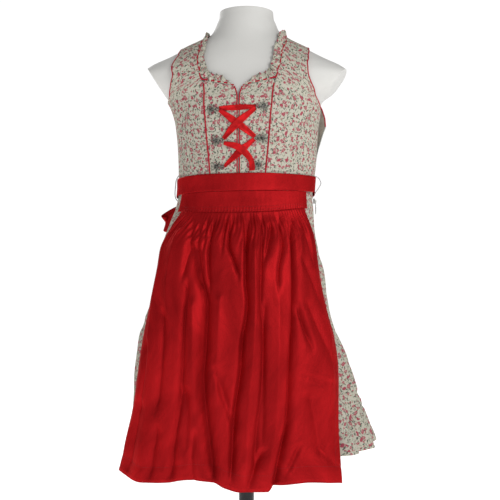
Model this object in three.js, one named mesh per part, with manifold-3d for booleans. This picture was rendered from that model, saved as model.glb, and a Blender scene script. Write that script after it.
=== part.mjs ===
// A child's dirndl with apron, lacing and open side zip, on a limbless dress form.
// Millimetres, +Z up. The wearer faces -Y, and +X is the viewer's right.
import * as THREE from "three";
import { mergeVertices } from "three/addons/utils/BufferGeometryUtils.js";
import Module from "manifold-3d";

const wasm = await Module();
wasm.setup();

// Driving dimensions
const CLOTH_WALL = 1.5;
const SEAM_GAP = 0.3;
const PIPING_RADIUS = 1.3;
const PIPED_SEAM = PIPING_RADIUS + SEAM_GAP;
const WAIST_HEIGHT = 668;
const SKIRT_HEM = 212;
const SKIRT_FOLDS = 20;
const SKIRT_COLUMNS = 120;
const APRON_COLUMNS = 48;
const BAND_OFFSET = 2.7;
const BAND_WALL = 1.5;
const TIE_WIDTH = 31;
const RIBBON_WIDTH = 12;
const RIBBON_WALL = 0.8;
const RUFFLE_HEIGHT = 11;
const RUFFLE_WALL = 0.8;
const RUFFLE_WAVES = 60;
const HOOK_RADIUS = 9.5;
const HOOK_WALL = 1.8;
const POLE_RADIUS = 13.5;
const BASE_RADIUS = 150;
const BASE_THICKNESS = 10;
const TORSO_BOTTOM = 380;
const NECK_TOP = 981;
const ZIP_ANGLE = 92;
const SLIDER_HEIGHT = 645;
const LOOP_DIAMETER = 1.8;

const DEGREE = Math.PI / 180;
const V = (x, y, z) => new THREE.Vector3(x, y, z);
const mix = (a, b, t) => a + (b - a) * t;
const clamp = (x, low, high) => Math.min(Math.max(x, low), high);

// Finishes
const FINISHES = {
  form: { color: "#d6d5d0", roughness: 0.6, metalness: 0 },
  metal: { color: "#16161a", roughness: 0.4, metalness: 0.6 },
  print: { color: "#c9c3b4", roughness: 0.9, metalness: 0 },
  piping: { color: "#a81422", roughness: 0.6, metalness: 0 },
  satin: { color: "#c5262a", roughness: 0.35, metalness: 0 },
  taffeta: { color: "#a8171c", roughness: 0.45, metalness: 0 },
  silver: { color: "#5a5752", roughness: 0.45, metalness: 0.9 },
  zip: { color: "#dadad2", roughness: 0.7, metalness: 0 },
  white: { color: "#ececea", roughness: 0.6, metalness: 0 },
};
const FINISH = Object.fromEntries(
  Object.entries(FINISHES).map(([name, values]) => [name, new THREE.MeshStandardMaterial(values)]),
);

// Sections of the form from its neck to its flat underside: height, half width, depth to the
// front, depth to the back, and how square the section is.
const FORM_SECTIONS = [
  [NECK_TOP, 48, 50, 46, 2],
  [969, 49, 52.5, 50, 2],
  [962, 52, 54, 52, 2],
  [946, 59, 57, 57, 2],
  [933, 70, 60, 62, 2],
  [915, 106, 66, 72, 2],
  [897, 142, 73, 80, 2],
  [882, 174, 78, 84, 2.05],
  [868, 188, 82, 87, 2.1],
  [850, 176, 87, 88, 2.1],
  [835, 156, 91, 88, 2.1],
  [822, 138, 94, 87, 2.15],
  [815, 134, 96, 87, 2.15],
  [800, 129, 98, 86, 2.2],
  [770, 121, 97, 83, 2.2],
  [740, 115, 92, 78, 2.15],
  [705, 108, 85, 72, 2.1],
  [672, 105, 80, 70, 2.1],
  [640, 106, 81, 75, 2.1],
  [590, 111, 84, 88, 2.15],
  [540, 117, 88, 98, 2.2],
  [470, 126, 90, 102, 2.2],
  [425, 126, 86, 94, 2.2],
  [400, 116, 78, 84, 2.2],
  [TORSO_BOTTOM, 90, 60, 64, 2.2],
];

// The dress clears the form by this much down to its underarms.
const SHOULDER_EASE = 3.6;
const UNDERARM_HEIGHT = 812;

// Sections of the inside of the cloth below the underarms: height, reach to the viewer's left and
// right, depth to the front and back, squareness.
const CLOTH_SECTIONS = [
  [800, 131.6, 132, 100.5, 88.5, 2.2],
  [770, 124.8, 127, 99.5, 86, 2.2],
  [740, 122, 125, 96, 83, 2.15],
  [705, 120.5, 123, 91, 80, 2.1],
  [WAIST_HEIGHT, 120, 119, 88, 78, 2.1],
  [650, 121.5, 118.2, 90, 80, 2.1],
  [630, 126, 120, 96, 88, 2.05],
  [593, 141, 122, 109, 104, 2],
  [552, 154, 130, 125, 122, 2],
  [515, 162, 140, 136, 136, 2],
  [461, 172, 147, 147, 150, 2],
  [429, 184, 154, 153, 158, 2],
  [395, 196, 168, 158, 164, 2],
  [366, 200, 181, 161, 169, 2],
  [312, 202, 198, 166, 177, 2],
  [283, 203, 207, 169, 181, 2],
  [238, 206, 224, 175, 188, 2],
  [SKIRT_HEM, 210, 234, 179, 194, 2],
  [165, 216, 240, 182, 198, 2],
];

// A smooth line through points in ascending order that never overshoots them.
function smoothLine(points) {
  const at = points.map((p) => p[0]);
  const value = points.map((p) => p[1]);
  const last = at.length - 1;
  const rise = at.slice(1).map((x, i) => (value[i + 1] - value[i]) / (x - at[i]));
  const slope = at.map((_, i) => {
    if (i === 0 || i === last) return rise[i === 0 ? 0 : last - 1];
    const product = rise[i - 1] * rise[i];
    return product <= 0 ? 0 : (2 * product) / (rise[i - 1] + rise[i]);
  });
  return (x) => {
    const here = clamp(x, at[0], at[last]);
    let i = 0;
    while (i < last - 1 && at[i + 1] < here) i += 1;
    const span = at[i + 1] - at[i];
    const t = (here - at[i]) / span;
    const bend = t * t * (3 - 2 * t);
    const leave = t * (1 - t) * (1 - t) * slope[i] * span;
    const arrive = t * t * (t - 1) * slope[i + 1] * span;
    return mix(value[i], value[i + 1], bend) + leave + arrive;
  };
}

// The surface through a table of sections. Its angle is 0 at the front and 90 degrees at the
// viewer's right, in radians.
function surfaceOf(rows) {
  const upward = [...rows].sort((a, b) => a[0] - b[0]);
  const column = (k) => smoothLine(upward.map((row) => [row[0], row[k]]));
  const [left, right, front, back, power] = [1, 2, 3, 4, 5].map(column);
  const halfWidth = (side, z) => (side < 0 ? left(z) : right(z));
  const base = (angle, z) => {
    const s = Math.sin(angle);
    const c = Math.cos(angle);
    const depth = c > 0 ? front(z) : back(z);
    const e = 2 / power(z);
    const x = Math.sign(s) * halfWidth(s, z) * Math.abs(s) ** e;
    return V(x, -Math.sign(c) * depth * Math.abs(c) ** e, z);
  };
  const normal = (angle, z) => {
    const across = base(angle + 0.02, z).sub(base(angle - 0.02, z));
    const up = base(angle, z + 1).sub(base(angle, z - 1));
    return across.cross(up).normalize();
  };
  const point = (angle, z, offset = 0) => base(angle, z).addScaledVector(normal(angle, z), offset);
  // The place on the surface at a point's height and in its direction.
  const project = (p) => {
    const half = power(p.z) / 2;
    const depth = p.y < 0 ? front(p.z) : back(p.z);
    const s = Math.sign(p.x) * Math.abs(p.x / halfWidth(p.x, p.z)) ** half;
    const c = -Math.sign(p.y) * Math.abs(p.y / depth) ** half;
    return { angle: Math.atan2(s, c), z: p.z };
  };
  // The angle at which a layer on the front is seen at x.
  const angleSeen = (x, z, offset = 0) => {
    let low = -Math.PI / 2;
    let high = Math.PI / 2;
    for (let i = 0; i < 24; i += 1) {
      const middle = (low + high) / 2;
      if (point(middle, z, offset).x < x) low = middle;
      else high = middle;
    }
    return (low + high) / 2;
  };
  // The height at which the shoulder has this x at this angle.
  const shoulderHeight = (x, angle) => {
    let low = 872;
    let high = 945;
    for (let i = 0; i < 24; i += 1) {
      const middle = (low + high) / 2;
      if (Math.abs(base(angle, middle).x) > Math.abs(x)) low = middle;
      else high = middle;
    }
    return (low + high) / 2;
  };
  return { point, normal, project, angleSeen, shoulderHeight, base };
}

const formRows = FORM_SECTIONS.map(([z, half, front, back, power]) => [z, half, half, front, back, power]);
const upperCloth = formRows
  .filter((row) => row[0] > UNDERARM_HEIGHT)
  .map(([z, left, right, front, back, power]) => [
    z,
    left + SHOULDER_EASE,
    right + SHOULDER_EASE,
    front + SHOULDER_EASE,
    back + SHOULDER_EASE,
    power,
  ]);
const form = surfaceOf(formRows);
const cloth = surfaceOf([...upperCloth, ...CLOTH_SECTIONS]);

// Places on the cloth: as seen from the front at x, as seen through to the back at x, at an angle
// in degrees, and over the shoulder at x and an angle.
const seen = (x, z) => ({ angle: cloth.angleSeen(x, z), z });
const behind = (x, z) => ({ angle: Math.PI - cloth.angleSeen(x, z), z });
const around = (angle, z) => ({ angle: angle * DEGREE, z });
const over = (x, angle) => ({
  angle: angle * DEGREE,
  z: cloth.shoulderHeight(x, angle * DEGREE),
});

// Closed solids

// A geometry from points and triangles, turned to face out.
function closedGeometry(points, triangles) {
  let volume = 0;
  for (const [a, b, c] of triangles) volume += points[a].dot(points[b].clone().cross(points[c]));
  const faces = volume < 0 ? triangles.map(([a, b, c]) => [a, c, b]) : triangles;
  const geometry = new THREE.BufferGeometry();
  const numbers = points.flatMap((p) => [p.x, p.y, p.z]);
  geometry.setAttribute("position", new THREE.Float32BufferAttribute(numbers, 3));
  geometry.setIndex(faces.flat());
  geometry.computeVertexNormals();
  return geometry;
}

// A wall between two grids of points, closed along its edges, or joined round into a tube.
function wall(outer, inner, round = false) {
  const rows = outer.length;
  const columns = outer[0].length;
  const points = [...outer.flat(), ...inner.flat()];
  const triangles = [];
  const out = (r, c) => r * columns + (c % columns);
  const inn = (r, c) => rows * columns + out(r, c);
  const quad = (a, b, c, d) => triangles.push([a, b, c], [a, c, d]);
  const bands = round ? columns : columns - 1;
  for (let c = 0; c < bands; c += 1) {
    for (let r = 0; r < rows - 1; r += 1) {
      quad(out(r, c), out(r, c + 1), out(r + 1, c + 1), out(r + 1, c));
      quad(inn(r, c), inn(r + 1, c), inn(r + 1, c + 1), inn(r, c + 1));
    }
    quad(out(0, c), inn(0, c), inn(0, c + 1), out(0, c + 1));
    quad(out(rows - 1, c), out(rows - 1, c + 1), inn(rows - 1, c + 1), inn(rows - 1, c));
  }
  if (!round) {
    const end = columns - 1;
    for (let r = 0; r < rows - 1; r += 1) {
      quad(out(r, 0), out(r + 1, 0), inn(r + 1, 0), inn(r, 0));
      quad(out(r, end), inn(r, end), inn(r + 1, end), out(r + 1, end));
    }
  }
  return closedGeometry(points, triangles);
}

// A section of [across, up] corners carried along stations that hold a place, a normal and a side.
function sweep(stations, section) {
  const corners = section.length;
  const points = stations.flatMap(({ at, normal, side, scale = 1 }) =>
    section.map(([across, up]) =>
      at.clone().addScaledVector(side, across * scale).addScaledVector(normal, up),
    ),
  );
  const triangles = [];
  for (let s = 0; s < stations.length - 1; s += 1) {
    for (let k = 0; k < corners; k += 1) {
      const a = s * corners + k;
      const b = s * corners + ((k + 1) % corners);
      triangles.push([a, b, b + corners], [a, b + corners, a + corners]);
    }
  }
  const last = (stations.length - 1) * corners;
  for (let k = 1; k < corners - 1; k += 1) {
    triangles.push([0, k + 1, k], [last, last + k, last + k + 1]);
  }
  return closedGeometry(points, triangles);
}

const circle = (radius, sides) =>
  Array.from({ length: sides }, (_, k) => {
    const turn = (2 * Math.PI * k) / sides;
    return [radius * Math.cos(turn), radius * Math.sin(turn)];
  });
const strip = (width, wallThickness) => [
  [-width / 2, 0],
  [width / 2, 0],
  [width / 2, wallThickness],
  [-width / 2, wallThickness],
];

// Stations along points with a normal at each.
function stationsAlong(places, normals, scales = []) {
  return places.map((at, i) => {
    const ahead = places[Math.min(i + 1, places.length - 1)];
    const from = places[Math.max(i - 1, 0)];
    const along = ahead.clone().sub(from).normalize();
    const normal = normals[i].clone().addScaledVector(along, -normals[i].dot(along)).normalize();
    return { at, normal, side: normal.clone().cross(along), scale: scales[i] ?? 1 };
  });
}

// Cutting with manifold-3d
function solidOf(geometry) {
  const plain = new THREE.BufferGeometry();
  plain.setAttribute("position", geometry.getAttribute("position").clone());
  if (geometry.index) plain.setIndex(geometry.index.clone());
  const merged = mergeVertices(plain, 1e-3);
  return new wasm.Manifold(
    new wasm.Mesh({
      numProp: 3,
      vertProperties: merged.attributes.position.array,
      triVerts: new Uint32Array(merged.index.array),
    }),
  );
}

function geometryOf(solid) {
  const mesh = solid.getMesh();
  const geometry = new THREE.BufferGeometry();
  geometry.setAttribute("position", new THREE.BufferAttribute(new Float32Array(mesh.vertProperties), 3));
  geometry.setIndex(new THREE.BufferAttribute(new Uint32Array(mesh.triVerts), 1));
  geometry.computeVertexNormals();
  return geometry;
}

const group = new THREE.Group();
group.name = "dirndl_on_dress_form";

function addPiece(name, geometry, finish) {
  const mesh = new THREE.Mesh(geometry, FINISH[finish]);
  mesh.name = name;
  group.add(mesh);
  return mesh;
}

// The dress form, its pole and its base

// The flat end of an arm stub: its lowest point, and the way it faces.
const STUB_CUTS = [
  { underarm: V(-138, 0, 820), facing: V(-0.834, 0, -0.552) },
  { underarm: V(139, 0, 816), facing: V(0.822, -0.138, -0.552) },
];
const STUB_CUT_SIZE = V(120, 260, 130);

function stubCutter({ underarm, facing }) {
  const out = facing.clone().normalize();
  const level = V(0, 1, 0).addScaledVector(out, -out.y).normalize();
  const up = out.clone().cross(level);
  if (up.z < 0) up.negate();
  const box = new THREE.BoxGeometry(STUB_CUT_SIZE.x, STUB_CUT_SIZE.y, STUB_CUT_SIZE.z);
  const centre = underarm
    .clone()
    .addScaledVector(out, STUB_CUT_SIZE.x / 2)
    .addScaledVector(up, STUB_CUT_SIZE.z / 2);
  const right = up.clone().cross(out);
  box.applyMatrix4(new THREE.Matrix4().makeBasis(out, right, up).setPosition(centre));
  return solidOf(box);
}

function buildForm() {
  const columns = 30;
  const heights = FORM_SECTIONS.map((row) => row[0]).reverse();
  const points = heights.flatMap((z) =>
    Array.from({ length: columns }, (_, c) => form.base((2 * Math.PI * c) / columns, z)),
  );
  const triangles = [];
  for (let r = 0; r < heights.length - 1; r += 1) {
    for (let c = 0; c < columns; c += 1) {
      const a = r * columns + c;
      const b = r * columns + ((c + 1) % columns);
      triangles.push([a, b, b + columns], [a, b + columns, a + columns]);
    }
  }
  const top = (heights.length - 1) * columns;
  for (let c = 1; c < columns - 1; c += 1) {
    triangles.push([0, c + 1, c], [top, top + c, top + c + 1]);
  }
  let torso = solidOf(closedGeometry(points, triangles));
  for (const cut of STUB_CUTS) torso = torso.subtract(stubCutter(cut));
  addPiece("form_torso", geometryOf(torso), "form");

  const pole = new THREE.CylinderGeometry(
    POLE_RADIUS,
    POLE_RADIUS,
    TORSO_BOTTOM - BASE_THICKNESS - 2 * SEAM_GAP,
    24,
  );
  pole.rotateX(Math.PI / 2);
  pole.translate(0, 0, (TORSO_BOTTOM + BASE_THICKNESS) / 2);
  addPiece("stand_pole", pole, "metal");

  const profile = [
    [0, 0],
    [BASE_RADIUS - 2, 0],
    [BASE_RADIUS, 2],
    [BASE_RADIUS, 6],
    [BASE_RADIUS - 4, BASE_THICKNESS],
    [0, BASE_THICKNESS],
  ];
  const base = new THREE.LatheGeometry(profile.map(([r, z]) => new THREE.Vector2(r, z)), 48);
  base.rotateX(Math.PI / 2);
  addPiece("stand_base", geometryOf(solidOf(base)), "metal");
}

// Bodice

// Where the seams run, from the waist up: height and x as seen from the front.
const CENTRE_X = -13.5;
const PRINCESS_HEIGHTS = [WAIST_HEIGHT + SEAM_GAP, 690, 725, 757, 790, 815, 838];
const PRINCESS_LEFT = [-60.5, -62, -65, -68, -70.5, -71.5, -72.5];
const PRINCESS_RIGHT = [31, 32.5, 36, 38.5, 41, 43.5, 47];
const BACK_PRINCESS_LEFT = [-34, -36, -41, -48, -55, -60, -65];
// The back's right seam has rows of its own, because its outer edge is the open zip's.
const BACK_RIGHT_HEIGHTS = [WAIST_HEIGHT + SEAM_GAP, 695, 722, 750, 775, 795, 815, 835, 858, 874];
const BACK_PRINCESS_RIGHT = [58, 60.5, 63.5, 67, 70, 73, 75, 76.5, 77, 77];

// The outer edge of the two fronts, from the waist to the shoulder. The right one is the zip's.
const LEFT_SEAM = -92;
const FRONT_LEFT_EDGE = [
  ...[WAIST_HEIGHT + SEAM_GAP, 690, 725, 757, 786, 804, 813].map((z) => around(LEFT_SEAM, z)),
  seen(-134, 823),
  seen(-130, 839),
  seen(-126, 860),
  seen(-121, 886),
  seen(-117, 900),
  over(-114.5, -66),
  over(-112.5, -74),
  over(-111.3, -82),
  over(-110.5, -89.7),
];
const FRONT_RIGHT_EDGE = [
  around(89.2, WAIST_HEIGHT + SEAM_GAP),
  around(88, 690),
  around(87, 722),
  around(86, 753),
  around(86, 780),
  around(86, 796),
  seen(130, 804),
  seen(124, 815),
  seen(117, 828),
  seen(108, 848),
  seen(104, 872),
  seen(106, 893),
  over(107.5, 64),
  over(109, 72),
  over(110, 81),
  over(110.5, 89.7),
];

// The neckline from its corners up to the shoulder.
const NECK_LEFT = [
  seen(-77, 846),
  seen(-80, 854),
  seen(-82.5, 868),
  seen(-84.5, 887),
  seen(-81, 907),
  over(-78, -52),
  over(-75, -65),
  over(-73, -78),
  over(-72, -89.7),
];
const NECK_RIGHT = [
  seen(51, 849),
  seen(54, 857),
  seen(56.5, 869),
  seen(61, 888),
  seen(65.5, 907),
  over(68, 52),
  over(70, 65),
  over(71.5, 78),
  over(72.5, 89.7),
];

// The backs, with the same rows.
const BACK_LEFT_EDGE = [
  ...[WAIST_HEIGHT + SEAM_GAP, 690, 725, 757, 786, 804, 813].map((z) => around(360 + LEFT_SEAM - 0.2, z)),
  behind(-132, 826),
  behind(-128, 842),
  behind(-124, 860),
  behind(-120, 880),
  behind(-117, 898),
  over(-114.5, 246),
  over(-112.5, 254),
  over(-111.3, 262),
  over(-110.5, 269.7),
];
const BACK_RIGHT_EDGE = [
  around(94.8, WAIST_HEIGHT + SEAM_GAP),
  around(96.2, 700),
  around(97.2, 730),
  around(97.5, 758),
  around(97.5, 781),
  around(98.5, 797),
  behind(132.5, 810),
  behind(132, 821),
  behind(129.5, 834),
  behind(126, 851),
  behind(121.5, 871),
  behind(117, 892),
  over(113, 116),
  over(112, 107),
  over(111, 98),
  over(110.5, 90.3),
];
const BACK_NECK_LEFT = [
  behind(-68, 858),
  behind(-70, 874),
  behind(-72.5, 886),
  behind(-76, 897),
  behind(-77, 910),
  over(-76, 236),
  over(-74.5, 247),
  over(-73, 258),
  over(-72, 269.7),
];
const BACK_NECK_RIGHT = [
  behind(78, 889),
  behind(78, 905),
  over(76, 124),
  over(74.5, 113),
  over(73.5, 102),
  over(72.5, 90.3),
];
// How far the back's zip edge stands away from the form, row by row.
const FLAP_LIFT = [0, 0.4, 3.5, 10, 15.5, 11.5, 5.5, 1.2];

const seamPlaces = (xs, shift, place = seen, heights = PRINCESS_HEIGHTS) =>
  xs.map((x, i) => place(x + shift, heights[i]));

// One cut piece between two edges that have a place in each row. Returns its outer and inner grid.
function panel(name, from, to, columns, lift = []) {
  const grid = (offset) =>
    from.map((start, r) => {
      const end = to[r];
      const edgeLift = lift[r] ?? 0;
      return Array.from({ length: columns + 1 }, (_, c) => {
        const t = c / columns;
        const raise = edgeLift * (1 - t) ** 2;
        return cloth.point(mix(start.angle, end.angle, t), mix(start.z, end.z, t), offset + raise);
      });
    });
  const outer = grid(CLOTH_WALL);
  const inner = grid(0);
  addPiece(name, wall(outer, inner), "print");
  return { outer, inner };
}

// Stations of a piping tube beside the edge of a panel: its first or last column, or its top row.
function edgeStations({ outer, inner }, edge, first = 0, last = Infinity) {
  const rows = outer.length - 1;
  const columns = outer[0].length - 1;
  const places = {
    start: outer.map((_, r) => [r, 0, r, 1]),
    end: outer.map((_, r) => [r, columns, r, columns - 1]),
    top: outer[0].map((_, c) => [rows, c, rows - 1, c]),
  }[edge];
  const stations = places.slice(first, last).map(([r, c, rowIn, columnIn]) => {
    const edgePoint = outer[r][c].clone().add(inner[r][c]).multiplyScalar(0.5);
    const inside = outer[rowIn][columnIn].clone().add(inner[rowIn][columnIn]).multiplyScalar(0.5);
    const normal = outer[r][c].clone().sub(inner[r][c]).normalize();
    return { edgePoint, inside, normal };
  });
  return stations.map(({ edgePoint, inside, normal }, i) => {
    const ahead = stations[Math.min(i + 1, stations.length - 1)].edgePoint;
    const along = ahead.clone().sub(stations[Math.max(i - 1, 0)].edgePoint).normalize();
    const away = edgePoint.clone().sub(inside);
    away.addScaledVector(along, -away.dot(along)).normalize();
    return { at: edgePoint.clone().addScaledVector(away, PIPED_SEAM), normal };
  });
}

function piping(name, stations) {
  const places = stations.map((s) => s.at);
  const normals = stations.map((s) => s.normal);
  addPiece(name, sweep(stationsAlong(places, normals), circle(PIPING_RADIUS, 5)), "piping");
}

function buildBodice() {
  const sideColumns = 6;
  // The centre fronts open into a small notch at the neck.
  const centreEdge = [3.2, 3.2, 3.2, 3.2, 3.2, 3.3, 5.2, 8];
  const centreHeights = [...PRINCESS_HEIGHTS.slice(0, 6), 826, 832];
  const centre = (side) =>
    centreEdge.map((gap, i) => seen(CENTRE_X + side * gap, centreHeights[i]));
  const innerLeft = [...seamPlaces(PRINCESS_LEFT, PIPED_SEAM), seen(-70.5, 843)];
  const innerRight = [...seamPlaces(PRINCESS_RIGHT, -PIPED_SEAM), seen(46, 846)];

  const frontLeft = panel("bodice_centre_front_left", innerLeft, centre(-1), 3);
  const frontRight = panel("bodice_centre_front_right", centre(1), innerRight, 3);
  const sideLeft = panel(
    "bodice_side_front_left",
    FRONT_LEFT_EDGE,
    [...seamPlaces(PRINCESS_LEFT, -PIPED_SEAM), ...NECK_LEFT],
    sideColumns,
  );
  const sideRight = panel(
    "bodice_side_front_right",
    [...seamPlaces(PRINCESS_RIGHT, PIPED_SEAM), ...NECK_RIGHT],
    FRONT_RIGHT_EDGE,
    sideColumns,
  );
  // Half of the gap at the back's two long seams.
  const half = SEAM_GAP / 2;
  const backSideLeft = panel(
    "bodice_side_back_left",
    [...seamPlaces(BACK_PRINCESS_LEFT, -half, behind), ...BACK_NECK_LEFT],
    BACK_LEFT_EDGE,
    sideColumns,
  );
  const backSideRight = panel(
    "bodice_side_back_right",
    BACK_RIGHT_EDGE,
    [...seamPlaces(BACK_PRINCESS_RIGHT, half, behind, BACK_RIGHT_HEIGHTS), ...BACK_NECK_RIGHT],
    sideColumns,
    FLAP_LIFT,
  );
  const backCentre = panel(
    "bodice_back_centre",
    seamPlaces(BACK_PRINCESS_RIGHT, -half, behind, BACK_RIGHT_HEIGHTS),
    [
      ...seamPlaces(BACK_PRINCESS_LEFT, half, behind),
      behind(-68 + half, 858),
      behind(-69 + half, 866),
      behind(-70 + half, 874),
    ],
    6,
  );

  // Seam pipings end just below the neckline's.
  const seamRows = PRINCESS_HEIGHTS.length;
  piping("princess_piping_left", edgeStations(sideLeft, "end", 0, seamRows));
  piping("princess_piping_right", edgeStations(sideRight, "start", 0, seamRows));
  piping("centre_piping_left", edgeStations(frontLeft, "end"));
  piping("centre_piping_right", edgeStations(frontRight, "start"));

  const neckRow = seamRows;
  // Draws the last station back, and the first where the piping starts at a shoulder seam.
  const pulledIn = (end, before, share) => ({
    at: before.at.clone().lerp(end.at, share),
    normal: end.normal,
  });
  const shorten = (stations, startShare, endShare) => {
    const n = stations.length;
    const first = pulledIn(stations[0], stations[1], startShare);
    const last = pulledIn(stations[n - 1], stations[n - 2], endShare);
    return [first, ...stations.slice(1, n - 1), last];
  };
  piping(
    "neck_piping_left",
    shorten(
      [...edgeStations(sideLeft, "end", neckRow).reverse(), ...edgeStations(frontLeft, "top")],
      0.93,
      0.7,
    ),
  );
  piping(
    "neck_piping_right",
    shorten(
      [...edgeStations(sideRight, "start", neckRow).reverse(), ...edgeStations(frontRight, "top").reverse()],
      0.93,
      0.7,
    ),
  );
  piping("neck_piping_back", [
    ...edgeStations(backSideRight, "end", BACK_RIGHT_HEIGHTS.length).reverse(),
    ...edgeStations(backCentre, "top", 1, 6),
    ...edgeStations(backSideLeft, "start", seamRows + 2),
  ]);
  piping("armhole_piping_left", [
    ...edgeStations(sideLeft, "start", seamRows),
    ...edgeStations(backSideLeft, "end", seamRows).reverse().slice(1),
  ]);
  piping("armhole_piping_right_front", edgeStations(sideRight, "end", 6));
  piping("armhole_piping_right_back", edgeStations(backSideRight, "start", 4, 15));
}

// Neck ruffle

// Cuts the corners of a run of places.
function eased(places, times) {
  let run = places;
  for (let i = 0; i < times; i += 1) {
    const cut = [run[0]];
    for (let k = 0; k < run.length - 1; k += 1) {
      for (const t of [0.25, 0.75]) {
        cut.push({ angle: mix(run[k].angle, run[k + 1].angle, t), z: mix(run[k].z, run[k + 1].z, t) });
      }
    }
    cut.push(run[run.length - 1]);
    run = cut;
  }
  return run;
}

// Evenly spaced places along a run, by length.
function spaced(places, count) {
  const points = places.map((p) => cloth.point(p.angle, p.z));
  const length = [0];
  for (let i = 1; i < points.length; i += 1) {
    length.push(length[i - 1] + points[i].distanceTo(points[i - 1]));
  }
  const total = length[length.length - 1];
  return Array.from({ length: count + 1 }, (_, k) => {
    const here = (total * k) / count;
    let i = 0;
    while (i < points.length - 2 && length[i + 1] < here) i += 1;
    const t = (here - length[i]) / (length[i + 1] - length[i]);
    return { angle: mix(places[i].angle, places[i + 1].angle, t), z: mix(places[i].z, places[i + 1].z, t) };
  });
}

function buildRuffle() {
  const turned = (places) => places.map(({ angle, z }) => ({ angle: angle + 2 * Math.PI, z }));
  const run = [
    seen(-4.5, 833.5),
    seen(20, 840),
    seen(38, 844),
    ...NECK_RIGHT.slice(1),
    ...BACK_NECK_RIGHT.slice(0, 5).reverse(),
    behind(60, 880),
    behind(0, 876),
    behind(-54, 880),
    ...BACK_NECK_LEFT.slice(2, 8),
    ...turned([...NECK_LEFT.slice(1)].reverse()),
    ...turned([seen(-64, 842), seen(-46, 839), seen(-22.5, 833.5)]),
  ];
  const places = spaced(eased(run, 2), 2 * RUFFLE_WAVES);
  const points = places.map(({ angle, z }) => cloth.point(angle, z, 0.8));
  const layers = places.map(({ angle, z }, i) => {
    const ahead = points[Math.min(i + 1, points.length - 1)];
    const along = ahead.clone().sub(points[Math.max(i - 1, 0)]).normalize();
    const inward = cloth.normal(angle, z).cross(along).normalize();
    const swing = i % 2 ? 1 : -1;
    const corner = (distance, offset) => {
      const place = cloth.project(points[i].clone().addScaledVector(inward, distance));
      return cloth.point(place.angle, place.z, offset);
    };
    const foot = 2 * PIPED_SEAM + 1.3;
    const low = 1.6 + 0.9 * swing;
    const high = 2.9 + 2.1 * swing;
    return [
      corner(foot, low),
      corner(foot + RUFFLE_HEIGHT, high),
      corner(foot, low + RUFFLE_WALL),
      corner(foot + RUFFLE_HEIGHT, high + RUFFLE_WALL),
    ];
  });
  const inner = [layers.map((l) => l[0]), layers.map((l) => l[1])];
  const outer = [layers.map((l) => l[2]), layers.map((l) => l[3])];
  addPiece("neck_ruffle", wall(outer, inner), "print");
}

// Hooks and lacing

// Hook centres as seen from the front, and the side their ring is on.
const HOOKS = {
  top_left: { x: -58, z: 793, ring: 1 },
  top_right: { x: 29.3, z: 798, ring: -1 },
  middle_left: { x: -52, z: 741, ring: 1 },
  middle_right: { x: 27.6, z: 745, ring: -1 },
  low_left: { x: -50.2, z: 697.5, ring: 1 },
  low_right: { x: 20.8, z: 700, ring: -1 },
};

// The hook's domed button and the ring that the lacing runs through.
const PETALS = 8;
const BUTTON = { top: 2.4, foot: 3.6, raised: 0.3 };
const EYE = { radius: 3, wire: 0.75, beyond: 0.9, raised: 1 };
const HOOK_CLEARANCE = 0.75;

function hookGeometry(ring) {
  const outline = new THREE.Shape();
  for (let k = 0; k < PETALS; k += 1) {
    const turn = (2 * Math.PI * k) / PETALS;
    for (const [shift, share] of [
      [-0.22, 0.94],
      [0.22, 0.94],
      [0.39, 0.5],
    ]) {
      const x = HOOK_RADIUS * share * Math.cos(turn + shift);
      const y = HOOK_RADIUS * share * Math.sin(turn + shift);
      if (k === 0 && shift === -0.22) outline.moveTo(x, y);
      else outline.lineTo(x, y);
    }
  }
  const plate = new THREE.ExtrudeGeometry(outline, { depth: HOOK_WALL - 0.8, bevelEnabled: false });
  const button = new THREE.CylinderGeometry(BUTTON.top, BUTTON.foot, HOOK_WALL, 8);
  button.rotateX(Math.PI / 2);
  button.translate(0, 0, HOOK_WALL / 2 + BUTTON.raised);
  const eye = new THREE.TorusGeometry(EYE.radius, EYE.wire, 5, 10);
  eye.translate(ring * (HOOK_RADIUS + EYE.beyond), 0, EYE.raised);
  return geometryOf(solidOf(plate).add(solidOf(button)).add(solidOf(eye)));
}

function buildHooks() {
  for (const [name, { x, z, ring }] of Object.entries(HOOKS)) {
    const angle = cloth.angleSeen(x, z);
    const out = cloth.normal(angle, z);
    const across = V(0, 0, 1).cross(out).negate().normalize();
    const up = out.clone().cross(across);
    const geometry = hookGeometry(ring);
    const place = cloth.point(angle, z, CLOTH_WALL + HOOK_CLEARANCE);
    geometry.applyMatrix4(new THREE.Matrix4().makeBasis(across, up, out).setPosition(place));
    addPiece(`hook_${name}`, geometry, "silver");
  }
}

// Each run of the lacing: its layer, and its places as seen from the front with a share of width.
const LACING = {
  lacing_top: { layer: 0, run: [[-45.5, 794, 0.6], [-15, 795.5, 0.8], [16, 797, 0.55]] },
  lacing_cross_down_right: { layer: 1, run: [[-45, 792, 0.55], [-14.5, 769, 1.05], [14.5, 747, 0.6]] },
  lacing_cross_down_left: { layer: 2, run: [[15, 794, 0.55], [-14.5, 770, 1.05], [-38, 744, 0.6]] },
  lacing_low_right: { layer: 1, run: [[-37.5, 737, 0.5], [-12, 729, 1], [7, 709, 0.8], [9.5, 690, 0.8]] },
  lacing_low_left: { layer: 0, run: [[13.5, 743, 0.55], [-9, 724, 1], [-26, 708, 0.7], [-37, 697, 0.4]] },
};
const LACING_FIRST_LAYER = 2.45;
const LACING_STEP = RIBBON_WALL + 0.35;

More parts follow.
